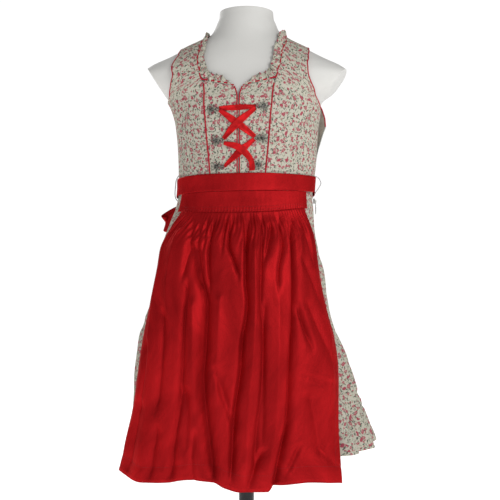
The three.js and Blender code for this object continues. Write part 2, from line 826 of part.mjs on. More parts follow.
function buildLacing() {
  for (const [name, { layer, run }] of Object.entries(LACING)) {
    const curve = new THREE.CatmullRomCurve3(run.map(([x, z, width]) => V(x, width, z)));
    const samples = curve.getSpacedPoints(8);
    const places = samples.map((p) => ({ angle: cloth.angleSeen(p.x, p.z), z: p.z }));
    const offset = LACING_FIRST_LAYER + layer * LACING_STEP;
    const stations = stationsAlong(
      places.map(({ angle, z }) => cloth.point(angle, z, offset)),
      places.map(({ angle, z }) => cloth.normal(angle, z)),
      samples.map((p) => p.y),
    );
    addPiece(name, sweep(stations, strip(RIBBON_WIDTH, RIBBON_WALL)), "satin");
  }
}

// Skirt

// How deep the folds are and how strongly the crests gather, by height.
const FOLD_DEPTH = smoothLine([
  [SKIRT_HEM, 27],
  [312, 22],
  [429, 13],
  [515, 8],
  [593, 4],
  [640, 2],
  [WAIST_HEIGHT, 0],
]);
const SKIRT_ROWS = [SKIRT_HEM, 290, 370, 440, 520, 590, 622, 645, WAIST_HEIGHT];

// The zip's opening in the skirt: half its width at the foot and at the mouth, where it starts
// above the slider, and how far its cut reaches over the waist and through the cloth.
const SLIT = { foot: 0.6, mouth: 5.8, start: 3, above: 5, depth: 30 };

// The fold at an angle round the skirt, 0 on a crest and up to 1 in a valley, uneven as cloth hangs.
function skirtFold(angle) {
  const drift = 0.9 * Math.sin(2 * angle + 0.7) + 0.5 * Math.sin(5 * angle + 2.1);
  const wave = 0.5 - 0.5 * Math.cos(SKIRT_FOLDS * angle + drift);
  const depth = 0.72 + 0.28 * Math.sin(3 * angle + 1.2) * Math.cos(7 * angle);
  return depth * wave;
}

function buildSkirt() {
  const ring = (z, offset) =>
    Array.from({ length: SKIRT_COLUMNS }, (_, c) => {
      const angle = (2 * Math.PI * c) / SKIRT_COLUMNS;
      return cloth.point(angle, z, offset - FOLD_DEPTH(z) * skirtFold(angle));
    });
  const outer = SKIRT_ROWS.map((z) => ring(z, CLOTH_WALL));
  const inner = SKIRT_ROWS.map((z) => ring(z, 0));
  // The side seam is open from the waist down to the zip's slider.
  const slitTop = cloth.point(ZIP_ANGLE * DEGREE, WAIST_HEIGHT);
  const { foot, mouth, start, above, depth } = SLIT;
  const slit = new THREE.Shape([
    new THREE.Vector2(-foot, SLIDER_HEIGHT + start),
    new THREE.Vector2(foot, SLIDER_HEIGHT + start),
    new THREE.Vector2(mouth, WAIST_HEIGHT + above),
    new THREE.Vector2(-mouth, WAIST_HEIGHT + above),
  ]);
  const cutter = new THREE.ExtrudeGeometry(slit, { depth, bevelEnabled: false });
  cutter.rotateX(Math.PI / 2);
  cutter.rotateZ(Math.PI / 2);
  cutter.translate(slitTop.x - depth / 2, slitTop.y, 0);
  const skirt = solidOf(wall(outer, inner, true)).subtract(solidOf(cutter));
  addPiece("skirt", geometryOf(skirt), "print");
}

// Apron

// Edges of the apron and its bands as seen from the front: x, and the heights of the tie's top,
// the waistband's top and the gathering seam.
const BAND_LINES = {
  x: [-125, -95, -62, -30, 0, 34, 80, 125],
  tie: [680.5, 684, 686.5, 687.5, 687.5, 687, 686, 685.5],
  middle: [651, 653, 654.5, 655, 655.5, 656, 657, 657.5],
  gather: [622, 620, 618, 617.5, 618, 619.5, 625, 629],
};
const bandLine = (key) => smoothLine(BAND_LINES.x.map((x, i) => [x, BAND_LINES[key][i]]));
const tieTop = bandLine("tie");
const tieBottom = bandLine("middle");
const gatherSeam = bandLine("gather");

// The apron's two side edges: height and x as seen from the front.
const APRON_LEFT = smoothLine([
  [170, -217],
  [241, -202],
  [297, -190],
  [369, -179],
  [452, -166],
  [520, -152.5],
  [554, -148],
  [593, -131],
  [622, -114],
]);
const APRON_RIGHT = smoothLine([
  [176, 155],
  [259, 151],
  [354, 153],
  [403, 148],
  [441, 138],
  [513, 123.5],
  [576, 117],
  [628, 102],
]);
const APRON_HEM = smoothLine([
  [-217, 176],
  [-173, 170],
  [-153, 173],
  [-127, 178],
  [-90, 187],
  [-54, 186],
  [-30, 177],
  [-8, 172],
  [34, 172],
  [44, 181],
  [92, 183],
  [148, 176],
  [157, 174],
]);
const HEM_LEVEL = 176;
const HEM_FULLNESS = 10;

// The hem's height at a share across the apron, by where the hem is seen from the front.
function apronHemAt(across) {
  const left = cloth.angleSeen(APRON_LEFT(HEM_LEVEL), HEM_LEVEL, BAND_OFFSET + 4);
  const right = cloth.angleSeen(APRON_RIGHT(HEM_LEVEL), HEM_LEVEL, BAND_OFFSET + 4);
  const place = cloth.point(mix(left, right, across), HEM_LEVEL, BAND_OFFSET + HEM_FULLNESS);
  return APRON_HEM(place.x);
}

// The apron's main valleys: their place across it, from 0 at its left edge to 1 at its right, at
// the gathers, half way down and at the hem, with how deep and how wide they are.
const APRON_VALLEYS = [
  { top: 0.15, middle: 0.18, hem: 0.21, depth: 9, width: 0.05 },
  { top: 0.22, middle: 0.32, hem: 0.405, depth: 13, width: 0.055 },
  { top: 0.535, middle: 0.54, hem: 0.5, depth: 11, width: 0.045 },
  { top: 0.638, middle: 0.645, hem: 0.65, depth: 8, width: 0.035 },
  { top: 0.87, middle: 0.79, hem: 0.715, depth: 10, width: 0.045 },
];
// Short gathers that fade out below the waistband.
const APRON_GATHERS = [0.07, 0.29, 0.382, 0.454, 0.7, 0.78, 0.94];
const APRON_ROWS = 9;

// How far the apron stands off the skirt at a share across and a share down from the gathers.
function apronLift(across, down) {
  const bulge = 15 * Math.sin(Math.PI * Math.min(0.5, 0.06 + 2.2 * down));
  let valley = 0;
  for (const { top, middle, hem, depth, width } of APRON_VALLEYS) {
    const centre = down < 0.5 ? mix(top, middle, down * 2) : mix(middle, hem, down * 2 - 1);
    const spread = width * (0.5 + 0.9 * down);
    valley += depth * Math.exp(-(((across - centre) / spread) ** 2));
  }
  const fade = Math.max(0, 1 - down * 3.2);
  for (const centre of APRON_GATHERS) {
    valley += 5 * fade * Math.exp(-(((across - centre) / 0.022) ** 2));
  }
  const edge = Math.min(1, Math.min(across, 1 - across) / 0.08);
  const start = Math.min(1, down * 9);
  return Math.max(0, (bulge - Math.min(valley, 14)) * (0.35 + 0.65 * edge)) * start;
}

function buildApron() {
  const grid = (extra) => {
    const rows = [];
    for (let r = 0; r <= APRON_ROWS; r += 1) {
      const down = 1 - (r / APRON_ROWS) ** 0.8;
      rows.push(
        Array.from({ length: APRON_COLUMNS + 1 }, (_, c) => {
          const across = c / APRON_COLUMNS;
          const seam = gatherSeam(mix(-114, 102, across)) - 3 * SEAM_GAP;
          const z = mix(seam, apronHemAt(across), down);
          const offset = BAND_OFFSET + apronLift(across, down);
          const angle = mix(
            cloth.angleSeen(APRON_LEFT(z), z, BAND_OFFSET + 4),
            cloth.angleSeen(APRON_RIGHT(z), z, BAND_OFFSET + 4),
            across,
          );
          return cloth.point(angle, z, offset + extra);
        }),
      );
    }
    return rows;
  };
  addPiece("apron_skirt", wall(grid(CLOTH_WALL), grid(0)), "taffeta");
}

// A flat band on the cloth between two angles, with a low and a high edge that depend on x.
function band(name, startAngle, endAngle, columns, lowEdge, highEdge, slantEnd = 0) {
  const grid = (offset) =>
    [0, 1].map((upper) =>
      Array.from({ length: columns + 1 }, (_, c) => {
        const t = c / columns;
        const slanted = (endAngle - slantEnd * (1 - upper)) * DEGREE;
        const angle = mix(startAngle * DEGREE, slanted, t);
        const x = cloth.base(angle, WAIST_HEIGHT).x;
        const z = upper ? highEdge(x, t) : lowEdge(x, t);
        return cloth.point(angle, z, offset);
      }),
    );
  addPiece(name, wall(grid(BAND_OFFSET + BAND_WALL), grid(BAND_OFFSET)), "taffeta");
}

// The bow is tied behind the viewer's left side.
const KNOT_ANGLE = 207;
const KNOT_HEIGHT = 645;

function buildBands() {
  const left = cloth.angleSeen(-114, 640, BAND_OFFSET) / DEGREE;
  const right = cloth.angleSeen(104, 640, BAND_OFFSET) / DEGREE;
  band("apron_waistband", left, right, 22, (x) => gatherSeam(x), (x) => tieBottom(x) - SEAM_GAP);
  // The tie leaves the front at its slanted right end and falls a little towards the knot.
  const fall = (line, t) => mix(line, KNOT_HEIGHT, 0.75 * Math.max(0, (0.35 - t) / 0.35) ** 1.5);
  band(
    "tie_front",
    KNOT_ANGLE - 360 + 9,
    84,
    34,
    (x, t) => fall(tieBottom(x) + TIE_WIDTH / 2, t) - TIE_WIDTH / 2,
    (x, t) => Math.min(fall(tieBottom(x) + TIE_WIDTH / 2, t) + TIE_WIDTH / 2, tieTop(x)),
    7,
  );
  const backCentre = (t) => mix(668, KNOT_HEIGHT + 2, t ** 1.6);
  band(
    "tie_back",
    88,
    KNOT_ANGLE - 9,
    22,
    (_, t) => backCentre(t) - TIE_WIDTH / 2,
    (_, t) => backCentre(t) + TIE_WIDTH / 2,
  );
}

// The bow's loops and tails: the middle line of the tie from the knot out, as x, the distance
// behind the cloth, and z.
const BOW_RUNS = {
  bow_loop_left: [[-63, 5, 645], [-74, 7, 640], [-90, 12, 629], [-104, 22, 612], [-113, 36, 595],
    [-117, 47, 586], [-115, 54, 588], [-104, 48, 602], [-90, 34, 621], [-75, 18, 637], [-63, 10, 645]],
  bow_loop_right: [[-47, 5, 645], [-36, 6, 646], [-20, 8, 643], [8, 14, 637], [24, 21, 633],
    [27, 28, 632], [20, 33, 634], [-5, 30, 640], [-25, 21, 645], [-36, 14, 646], [-47, 10, 645]],
  bow_tail_left: [[-60, 5, 636], [-64, 10, 620], [-74, 17, 588], [-83, 17, 545], [-92, 18, 500],
    [-98, 19, 455]],
  bow_tail_right: [[-52, 9, 636], [-47, 13, 620], [-42, 17, 588], [-37, 18, 540], [-30, 18, 490],
    [-26, 18, 445]],
};
const BOW_WALL = 1.2;
// How wide the tie is where it enters the knot, as a share of its width.
const LOOP_PINCH = 0.42;
const TAIL_PINCH = 0.3;
const KNOT = { x: -55, depth: 7.6, size: V(12, 9.4, 16) };

// A strip's section with room all round for the strip itself.
function pocket(width, wallThickness) {
  const roomy = strip(width + 4 * SEAM_GAP, wallThickness + 2 * SEAM_GAP);
  return roomy.map(([across, up]) => [across, up - SEAM_GAP]);
}

function buildBow() {
  const place = (x, depth, z) => {
    const angle = Math.PI - cloth.angleSeen(x, z);
    return cloth.point(angle, z, BAND_OFFSET + BAND_WALL + depth);
  };
  const ball = new THREE.SphereGeometry(1, 16, 10);
  ball.scale(KNOT.size.x, KNOT.size.y, KNOT.size.z);
  const middle = place(KNOT.x, KNOT.depth, KNOT_HEIGHT);
  ball.translate(middle.x, middle.y, middle.z);
  let knot = solidOf(ball);
  for (const [name, run] of Object.entries(BOW_RUNS)) {
    const loop = name.includes("loop");
    const curve = new THREE.CatmullRomCurve3(run.map(([x, depth, z]) => place(x, depth, z)));
    const places = curve.getSpacedPoints(loop ? 17 : 8);
    const stations = places.map((at, i) => {
      const ahead = places[Math.min(i + 1, places.length - 1)];
      const along = ahead.clone().sub(places[Math.max(i - 1, 0)]).normalize();
      const hang = loop ? V(0.1, 0, 1) : V(1, 0.15, 0);
      const side = hang.addScaledVector(along, -hang.dot(along)).normalize();
      const t = i / (places.length - 1);
      const scale = loop
        ? mix(LOOP_PINCH, 1, Math.sin(Math.PI * t) ** 0.6)
        : mix(TAIL_PINCH, 1, t ** 0.5);
      return { at, side, along, normal: along.clone().cross(side), scale };
    });
    addPiece(name, sweep(stations, strip(TIE_WIDTH, BOW_WALL)), "taffeta");
    // The knot holds each end in a pocket.
    const longer = (station, way) => ({
      ...station,
      at: station.at.clone().addScaledVector(station.along, way * SEAM_GAP),
    });
    const last = stations.length - 1;
    const roomy = [longer(stations[0], -1), ...stations.slice(1, last), longer(stations[last], 1)];
    knot = knot.subtract(solidOf(sweep(roomy, pocket(TIE_WIDTH, BOW_WALL))));
  }
  addPiece("bow_knot", geometryOf(knot), "taffeta");
}

// Side zip

const TAPE = { width: 4.5, beside: 0.45, inner: 0.3, outer: 1.2 };
// The slider's body and the two ears that hold its pull tab: depth, width and height.
const SLIDER_BODY = { size: [3, 7.5, 9], drop: 2 };
const SLIDER_EAR = { size: [2.6, 1, 4], out: 3.9, beside: 2.6 };
// The pull tab's outline and slot from its pivot down: half width and distance below the pivot.
const TAB_OUTLINE = [[1.8, -0.9], [1.8, 6], [3, 11], [3, 21], [1.6, 23.5]];
const TAB_SLOT = [[1.2, 12.5], [1.2, 19]];
const TAB = { wall: 1.2, out: 3.7 };

// A closed outline from its right half, which runs from the top down.
const mirrored = (half) =>
  [...half, ...half.map(([x, down]) => [-x, down]).reverse()].map(([x, down]) => new THREE.Vector2(x, -down));

function buildZip() {
  // Each tape runs beside its edge of the opening, where that edge's own rows are.
  const tape = (name, edge, count, side, lift) => {
    const rows = (offset) =>
      edge.slice(0, count).map(({ angle, z }, i) => {
        const perMillimetre = 1 / cloth.base(Math.PI / 2, z).x;
        const near = angle + side * TAPE.beside * perMillimetre;
        const far = near + side * TAPE.width * perMillimetre;
        const pair = [near, far].map((place) => cloth.point(place, z, offset + (lift[i] ?? 0)));
        return side > 0 ? pair : pair.reverse();
      });
    addPiece(name, wall(rows(TAPE.outer), rows(TAPE.inner)), "zip");
  };
  tape("zip_tape_front", FRONT_RIGHT_EDGE, 6, 1, []);
  tape("zip_tape_back", BACK_RIGHT_EDGE, 5, -1, FLAP_LIFT);

  const seat = cloth.point(ZIP_ANGLE * DEGREE, SLIDER_HEIGHT, CLOTH_WALL + 0.7);
  const pivotHeight = SLIDER_HEIGHT - SLIDER_BODY.drop;
  const body = new THREE.BoxGeometry(...SLIDER_BODY.size);
  body.translate(seat.x + SLIDER_BODY.size[0] / 2, seat.y, pivotHeight);
  const ear = (side) => {
    const box = new THREE.BoxGeometry(...SLIDER_EAR.size);
    box.translate(seat.x + SLIDER_EAR.out, seat.y + side * SLIDER_EAR.beside, pivotHeight);
    return solidOf(box);
  };
  addPiece("zip_slider", geometryOf(solidOf(body).add(ear(1)).add(ear(-1))), "silver");

  // The pull tab hangs between the slider's ears and swings out and up.
  const outline = new THREE.Shape(mirrored(TAB_OUTLINE));
  outline.holes.push(new THREE.Path(mirrored(TAB_SLOT).reverse()));
  const tab = new THREE.ExtrudeGeometry(outline, { depth: TAB.wall, bevelEnabled: false });
  tab.rotateX(Math.PI / 2);
  tab.rotateZ(Math.PI / 2);
  tab.translate(seat.x + TAB.out, seat.y, pivotHeight);
  addPiece("zip_pull_tab", geometryOf(solidOf(tab)), "silver");
}

// Hanger loops: thin cord from the side of the bodice over the tie and back to the skirt. Each
// point is an angle, a height and the distance of the cord's middle from the cloth.
const LOOP_RUNS = {
  hanger_loop_left: [[-97, 690, 3], [-97, 687, 4.6], [-96, 680, 6.2], [-95, 668, 7], [-95, 656, 7],
    [-96, 648, 6], [-97, 643, 3.4]],
  hanger_loop_right: [[102, 690, 3.2], [101, 689.5, 8], [101, 686, 14.5], [101, 678, 18.5],
    [101, 668, 14.5], [101, 658, 8.5], [102, 649, 4], [102, 645, 3]],
};

function buildLoops() {
  for (const [name, run] of Object.entries(LOOP_RUNS)) {
    const curve = new THREE.CatmullRomCurve3(
      run.map(([angle, z, offset]) => cloth.point(angle * DEGREE, z, offset)),
    );
    const turn = circle(LOOP_DIAMETER / 2, 8).map(([x, y]) => new THREE.Vector2(x, y));
    const cord = new THREE.ExtrudeGeometry(new THREE.Shape(turn), { steps: 16, extrudePath: curve });
    addPiece(name, geometryOf(solidOf(cord)), "white");
  }
}

buildForm();
buildBodice();
buildRuffle();
buildHooks();
buildLacing();
buildSkirt();
buildApron();
buildBands();
buildBow();
buildZip();
buildLoops();

export default group;
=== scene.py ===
import math

import bmesh
import bpy
import numpy as np
from mathutils import Matrix, Vector


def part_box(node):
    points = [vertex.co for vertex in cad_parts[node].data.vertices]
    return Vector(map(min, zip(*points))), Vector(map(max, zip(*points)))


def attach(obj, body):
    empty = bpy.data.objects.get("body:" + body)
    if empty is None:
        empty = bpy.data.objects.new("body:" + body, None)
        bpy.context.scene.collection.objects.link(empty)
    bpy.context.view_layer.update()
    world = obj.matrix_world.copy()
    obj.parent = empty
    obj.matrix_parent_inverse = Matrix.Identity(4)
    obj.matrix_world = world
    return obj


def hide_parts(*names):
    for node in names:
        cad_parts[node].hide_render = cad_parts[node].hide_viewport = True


bl_info = {
    "name": "Dirndl on a dress form",
    "version": (1, 0, 0),
    "blender": (4, 5, 0),
    "location": "3D View > Sidebar > Dirndl",
    "description": "Builds the cloth, trim, form and stand of a girl's dirndl around its packed solids",
    "category": "Object",
}

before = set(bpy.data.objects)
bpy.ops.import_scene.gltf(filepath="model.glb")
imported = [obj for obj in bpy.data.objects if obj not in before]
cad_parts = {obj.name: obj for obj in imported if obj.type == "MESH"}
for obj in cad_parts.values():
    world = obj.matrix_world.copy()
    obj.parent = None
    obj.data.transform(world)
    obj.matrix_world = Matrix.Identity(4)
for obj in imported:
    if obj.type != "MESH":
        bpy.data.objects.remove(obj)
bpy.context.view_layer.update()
DRESS = "dress_and_form"
TAB = "pull_tab"
MM = 0.001
DEGREE = math.pi / 180

# Driving sizes, in millimetres like all the garment's tables
CLOTH_WALL = 1.5
SEAM = 0.25
WAIST = 668.0
SKIRT_HEM = 212.0
SKIRT_FOLDS = 20
BAND_OFFSET = 2.7
BAND_WALL = 1.5
TIE_WIDTH = 31.0
RIBBON_WIDTH = 12.0
RIBBON_THICKNESS = 0.45
RUFFLE_HEIGHT = 11.0
RUFFLE_THICKNESS = 0.55
RUFFLE_SEWN_IN = 4.4
HOOK_RADIUS = 9.5
TORSO_BOTTOM = 380.0
NECK_TOP = 981.0
ZIP_ANGLE = 92.0
SLIDER_HEIGHT = 645.0
CENTRE_X = -13.5
KNOT_ANGLE = 207.0
KNOT_HEIGHT = 645.0

# Sections of the form: height, half width, depth to the front and back, squareness
FORM_SECTIONS = [
    (NECK_TOP, 48, 50, 46, 2),
    (969, 49, 52.5, 50, 2),
    (962, 52, 54, 52, 2),
    (946, 59, 57, 57, 2),
    (933, 70, 60, 62, 2),
    (915, 106, 66, 72, 2),
    (897, 142, 73, 80, 2),
    (882, 174, 78, 84, 2.05),
    (868, 188, 82, 87, 2.1),
    (850, 176, 87, 88, 2.1),
    (835, 156, 91, 88, 2.1),
    (822, 138, 94, 87, 2.15),
    (815, 134, 96, 87, 2.15),
    (800, 129, 98, 86, 2.2),
    (770, 121, 97, 83, 2.2),
    (740, 115, 92, 78, 2.15),
    (705, 108, 85, 72, 2.1),
    (672, 105, 80, 70, 2.1),
    (640, 106, 81, 75, 2.1),
    (590, 111, 84, 88, 2.15),
    (540, 117, 88, 98, 2.2),
    (470, 126, 90, 102, 2.2),
    (425, 126, 86, 94, 2.2),
    (400, 116, 78, 84, 2.2),
    (TORSO_BOTTOM, 90, 60, 64, 2.2),
]
SHOULDER_EASE = 3.6
SHOULDER_HEIGHTS = (872.0, 945.0)
UNDERARM = 812

# Sections of the cloth: height, reach to the left and right, depth to the front and back, squareness
CLOTH_SECTIONS = [
    (800, 131.6, 132, 100.5, 88.5, 2.2),
    (770, 124.8, 127, 99.5, 86, 2.2),
    (740, 122, 125, 96, 83, 2.15),
    (705, 120.5, 123, 91, 80, 2.1),
    (WAIST, 120, 119, 88, 78, 2.1),
    (650, 121.5, 118.2, 90, 80, 2.1),
    (630, 126, 120, 96, 88, 2.05),
    (593, 141, 122, 109, 104, 2),
    (552, 154, 130, 125, 122, 2),
    (515, 162, 140, 136, 136, 2),
    (461, 172, 147, 147, 150, 2),
    (429, 184, 154, 153, 158, 2),
    (395, 196, 168, 158, 164, 2),
    (366, 200, 181, 161, 169, 2),
    (312, 202, 198, 166, 177, 2),
    (283, 203, 207, 169, 181, 2),
    (238, 206, 224, 175, 188, 2),
    (SKIRT_HEM, 210, 234, 179, 194, 2),
    (165, 216, 240, 182, 198, 2),
]


# Shapes in numbers

def smooth_line(points):
    """A smooth line through points in ascending order that never overshoots them."""
    at, value = np.array(points, float).T
    rise = np.diff(value) / np.diff(at)
    product = rise[:-1] * rise[1:]
    total = np.where(product > 0, rise[:-1] + rise[1:], 1.0)
    middle = np.where(product > 0, 2 * product / total, 0.0)
    slope = np.concatenate([rise[:1], middle, rise[-1:]])

    def line(x):
        here = np.clip(x, at[0], at[-1])
        i = np.clip(np.searchsorted(at, here, side="right") - 1, 0, len(at) - 2)
        span = at[i + 1] - at[i]
        t = (here - at[i]) / span
        bend = t * t * (3 - 2 * t)
        leave = t * (1 - t) ** 2 * slope[i] * span
        arrive = t * t * (t - 1) * slope[i + 1] * span
        return value[i] + (value[i + 1] - value[i]) * bend + leave + arrive

    return line


def unit(vectors):
    length = np.linalg.norm(vectors, axis=-1, keepdims=True)
    return vectors / np.maximum(length, 1e-9)


def ease(x, low, high):
    """0 below low, 1 above high and smooth between."""
    t = np.clip((x - low) / (high - low), 0, 1)
    return t * t * (3 - 2 * t)


def mix(a, b, t):
    return a + (b - a) * t


class Surface:
    """The surface through a table of sections, by an angle from the front and a height."""

    def __init__(self, sections):
        rows = sorted(sections)
        lines = [smooth_line([(row[0], row[k]) for row in rows]) for k in range(1, 6)]
        self.left, self.right, self.front, self.back, self.power = lines

    def base(self, angle, z):
        angle, z = np.broadcast_arrays(np.asarray(angle, float), np.asarray(z, float))
        s, c = np.sin(angle), np.cos(angle)
        half = np.where(s < 0, self.left(z), self.right(z))
        depth = np.where(c > 0, self.front(z), self.back(z))
        e = 2 / self.power(z)
        x = np.sign(s) * half * np.abs(s) ** e
        y = -np.sign(c) * depth * np.abs(c) ** e
        return np.stack([x, y, z], -1)

    def normal(self, angle, z):
        angle, z = np.broadcast_arrays(np.asarray(angle, float), np.asarray(z, float))
        across = self.base(angle + 0.02, z) - self.base(angle - 0.02, z)
        up = self.base(angle, z + 1) - self.base(angle, z - 1)
        return unit(np.cross(across, up))

    def point(self, angle, z, offset=0.0):
        return self.base(angle, z) + self.normal(angle, z) * np.asarray(offset)[..., None]

    def angle_seen(self, x, z, offset=0.0):
        """The angle at which a layer on the front is seen at x."""
        x, z = np.broadcast_arrays(np.asarray(x, float), np.asarray(z, float))
        low = np.full(x.shape, -math.pi / 2)
        high = np.full(x.shape, math.pi / 2)
        for _ in range(22):
            middle = (low + high) / 2
            before = self.point(middle, z, np.full(x.shape, offset))[..., 0] < x
            low, high = np.where(before, middle, low), np.where(before, high, middle)
        return (low + high) / 2

    def shoulder_height(self, x, angle):
        low, high = SHOULDER_HEIGHTS
        for _ in range(24):
            middle = (low + high) / 2
            if abs(self.base(angle, middle)[0]) > abs(x):
                low = middle
            else:
                high = middle
        return (low + high) / 2

    def project(self, points):
        """The angle and height of the places on the surface beside points."""
        x, y, z = points[..., 0], points[..., 1], points[..., 2]
        half = self.power(z) / 2
        reach = np.where(x < 0, self.left(z), self.right(z))
        depth = np.where(y < 0, self.front(z), self.back(z))
        s = np.sign(x) * np.abs(x / reach) ** half
        c = -np.sign(y) * np.abs(y / depth) ** half
        return np.arctan2(s, c), z


FORM_ROWS = [(z, half, half, front, back, power) for z, half, front, back, power in FORM_SECTIONS]
UPPER_CLOTH = [
    (z, *(reach + SHOULDER_EASE for reach in reaches), power)
    for z, *reaches, power in FORM_ROWS
    if z > UNDERARM
]
form = Surface(FORM_ROWS)
cloth = Surface(UPPER_CLOTH + CLOTH_SECTIONS)


def seen(x, z):
    return float(cloth.angle_seen(x, z)), z


def behind(x, z):
    return math.pi - float(cloth.angle_seen(x, z)), z


def around(angle, z):
    return angle * DEGREE, z


def over(x, angle):
    return angle * DEGREE, cloth.shoulder_height(x, angle * DEGREE)


def flow(places, count):
    """Places evenly shared out along a smooth run through a list of them."""
    run = np.array(places, float)
    padded = np.concatenate([2 * run[:1] - run[1:2], run, 2 * run[-1:] - run[-2:-1]])
    at = np.linspace(0, len(run) - 1, count)
    i = np.minimum(at.astype(int), len(run) - 2)
    t = (at - i)[:, None]
    a, b, c, d = (padded[i + k] for k in range(4))
    return 0.5 * (2 * b + (c - a) * t + (2 * a - 5 * b + 4 * c - d) * t**2 + (3 * (b - c) + d - a) * t**3)


def paced(places, count, measure=lambda run: run):
    """Places at even steps of real length along a smooth run."""
    fine = flow(places, 12 * len(places))
    points = measure(fine)
    steps = np.linalg.norm(np.diff(points, axis=0), axis=1)
    length = np.concatenate([[0], np.cumsum(steps)])
    at = np.linspace(0, length[-1], count)
    return np.stack([np.interp(at, length, fine[:, k]) for k in range(fine.shape[1])], -1)


def ripple(a, b, seed, waves=5):
    """A gentle uneven wave over two coordinates, between about -1 and 1."""
    random = np.random.default_rng(seed)
    total = 0.0
    for _ in range(waves):
        u, v, shift = random.uniform(-1, 1), random.uniform(-1, 1), random.uniform(0, 2 * math.pi)
        total = total + np.sin(u * a + v * b + shift)
    return total / math.sqrt(waves)


# Mesh pieces

def only(obj):
    bpy.ops.object.select_all(action="DESELECT")
    obj.select_set(True)
    bpy.context.view_layer.objects.active = obj


def apply(obj, kind, **settings):
    """Adds a modifier to a piece and applies it."""
    only(obj)
    modifier = obj.modifiers.new(kind, kind)
    for key, value in settings.items():
        setattr(modifier, key, value)
    bpy.ops.object.modifier_apply(modifier=modifier.name)
    return obj


def joined(name, pieces):
    only(pieces[0])
    for piece in pieces[1:]:
        piece.select_set(True)
    bpy.ops.object.join()
    made = bpy.context.view_layer.objects.active
    made.name = name
    made.data.name = name
    return made


def settle(obj, name):
    """Takes a piece's place, turn and scale into its mesh."""
    only(obj)
    bpy.ops.object.transform_apply(location=True, rotation=True, scale=True)
    obj.name = name
    obj.data.name = name
    return obj


def dressed(obj, nodes, body=DRESS):
    """Rides a finished piece on its body, in the place of its nodes."""
    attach(obj, body)
    if nodes:
        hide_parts(*nodes)
    return obj


def linked(name, mesh):
    obj = bpy.data.objects.new(name, mesh)
    bpy.context.scene.collection.objects.link(obj)
    return obj


def lengths(grid, axis):
    steps = np.linalg.norm(np.diff(grid, axis=axis), axis=-1)
    zero = np.zeros_like(np.take(steps, [0], axis=axis))
    return np.concatenate([zero, np.cumsum(steps, axis=axis)], axis=axis)


def shell(name, grid, thickness, finishes, weld=False, turn=0.0, measured=None):
    """A thin cloth on a grid of points, rows upwards, that gets its thickness, in metres, inwards.

    Its map follows the cloth in metres, measured along each row from the middle, or along the
    one measured row where the cloth is gathered.
    """
    rows, columns, _ = grid.shape
    number = np.arange(rows * columns).reshape(rows, columns)
    corners = [number[:-1, :-1], number[:-1, 1:], number[1:, 1:], number[1:, :-1]]
    faces = np.stack(corners, -1).reshape(-1, 4)
    mesh = bpy.data.meshes.new(name)
    mesh.from_pydata((grid.reshape(-1, 3) * MM).tolist(), [], faces.tolist())
    across, up = lengths(grid, 1), lengths(grid, 0)
    if measured is not None:
        across = np.broadcast_to(across[measured], across.shape)
    u = across - across[:, columns // 2][:, None]
    v = up[:, columns // 2][:, None] + 0 * u
    c, s = math.cos(turn), math.sin(turn)
    flat = np.stack([c * u - s * v, s * u + c * v], -1).reshape(-1, 2) * MM
    layer = mesh.uv_layers.new(name="cloth")
    layer.data.foreach_set("uv", flat[faces.reshape(-1)].astype(np.float32).ravel())
    for finish in finishes:
        mesh.materials.append(finish)
    mesh.polygons.foreach_set("use_smooth", np.ones(len(mesh.polygons), bool))
    obj = linked(name, mesh)
    if weld:
        edit = bmesh.new()
        edit.from_mesh(mesh)
        bmesh.ops.remove_doubles(edit, verts=edit.verts, dist=1e-6)
        edit.to_mesh(mesh)
        edit.free()
    inside = len(finishes) - 1
    apply(obj, "SOLIDIFY", thickness=thickness, offset=-1, material_offset=inside, use_quality_normals=True)
    return obj


def frames_along(points, side):
    """The direction along a path and, square to it, the nearest to the given side."""
    along = unit(np.gradient(points, axis=0))
    square = side - along * np.sum(side * along, axis=1, keepdims=True)
    return along, unit(square)


def ribbon(name, points, side, widths, thickness, finishes, cup=0.0, across=7):
    """A flat strip along a path, wide along the side direction."""
    along, side = frames_along(points, side)
    out = np.cross(side, along)
    t = np.linspace(-0.5, 0.5, across)[:, None, None]
    rise = cup * (1 - (2 * t) ** 2)
    grid = points[None] + side[None] * widths[None, :, None] * t + out[None] * rise
    return shell(name, grid, thickness, finishes)


def tube(name, points, radius, sides, finish):
    """A round cord with closed, rounded ends along a path."""
    along, side = frames_along(points, np.broadcast_to([0.13, 0.35, 0.93], points.shape))
    other = np.cross(along, side)
    turn = np.linspace(0, 2 * math.pi, sides, endpoint=False)
    ring = side[:, None] * np.cos(turn)[None, :, None] + other[:, None] * np.sin(turn)[None, :, None]
    body = points[:, None] + ring * radius
    vertices = np.concatenate([body.reshape(-1, 3), points[:1] - along[:1] * radius * 0.6,
                               points[-1:] + along[-1:] * radius * 0.6])
    number = np.arange(len(points) * sides).reshape(len(points), sides)
    after = np.roll(number, -1, axis=1)
    faces = np.stack([number[:-1], after[:-1], after[1:], number[1:]], -1).reshape(-1, 4).tolist()
    start, end = len(points) * sides, len(points) * sides + 1
    faces += [[start, after[0, k], number[0, k]] for k in range(sides)]
    faces += [[end, number[-1, k], after[-1, k]] for k in range(sides)]
    mesh = bpy.data.meshes.new(name)
    mesh.from_pydata((vertices * MM).tolist(), [], faces)
    layer = mesh.uv_layers.new(name="cloth")
    length = lengths(points[None], 1)[0] * MM
    loops = np.zeros(len(mesh.loops), int)
    mesh.loops.foreach_get("vertex_index", loops)
    around_it = np.append(np.tile(turn, len(points)), [0, 0])[loops] * radius * MM
    along_it = np.append(np.repeat(length, sides), [0, length[-1]])[loops]
    layer.data.foreach_set("uv", np.stack([around_it, along_it], -1).astype(np.float32).ravel())
    mesh.materials.append(finish)
    mesh.polygons.foreach_set("use_smooth", np.ones(len(mesh.polygons), bool))
    return linked(name, mesh)


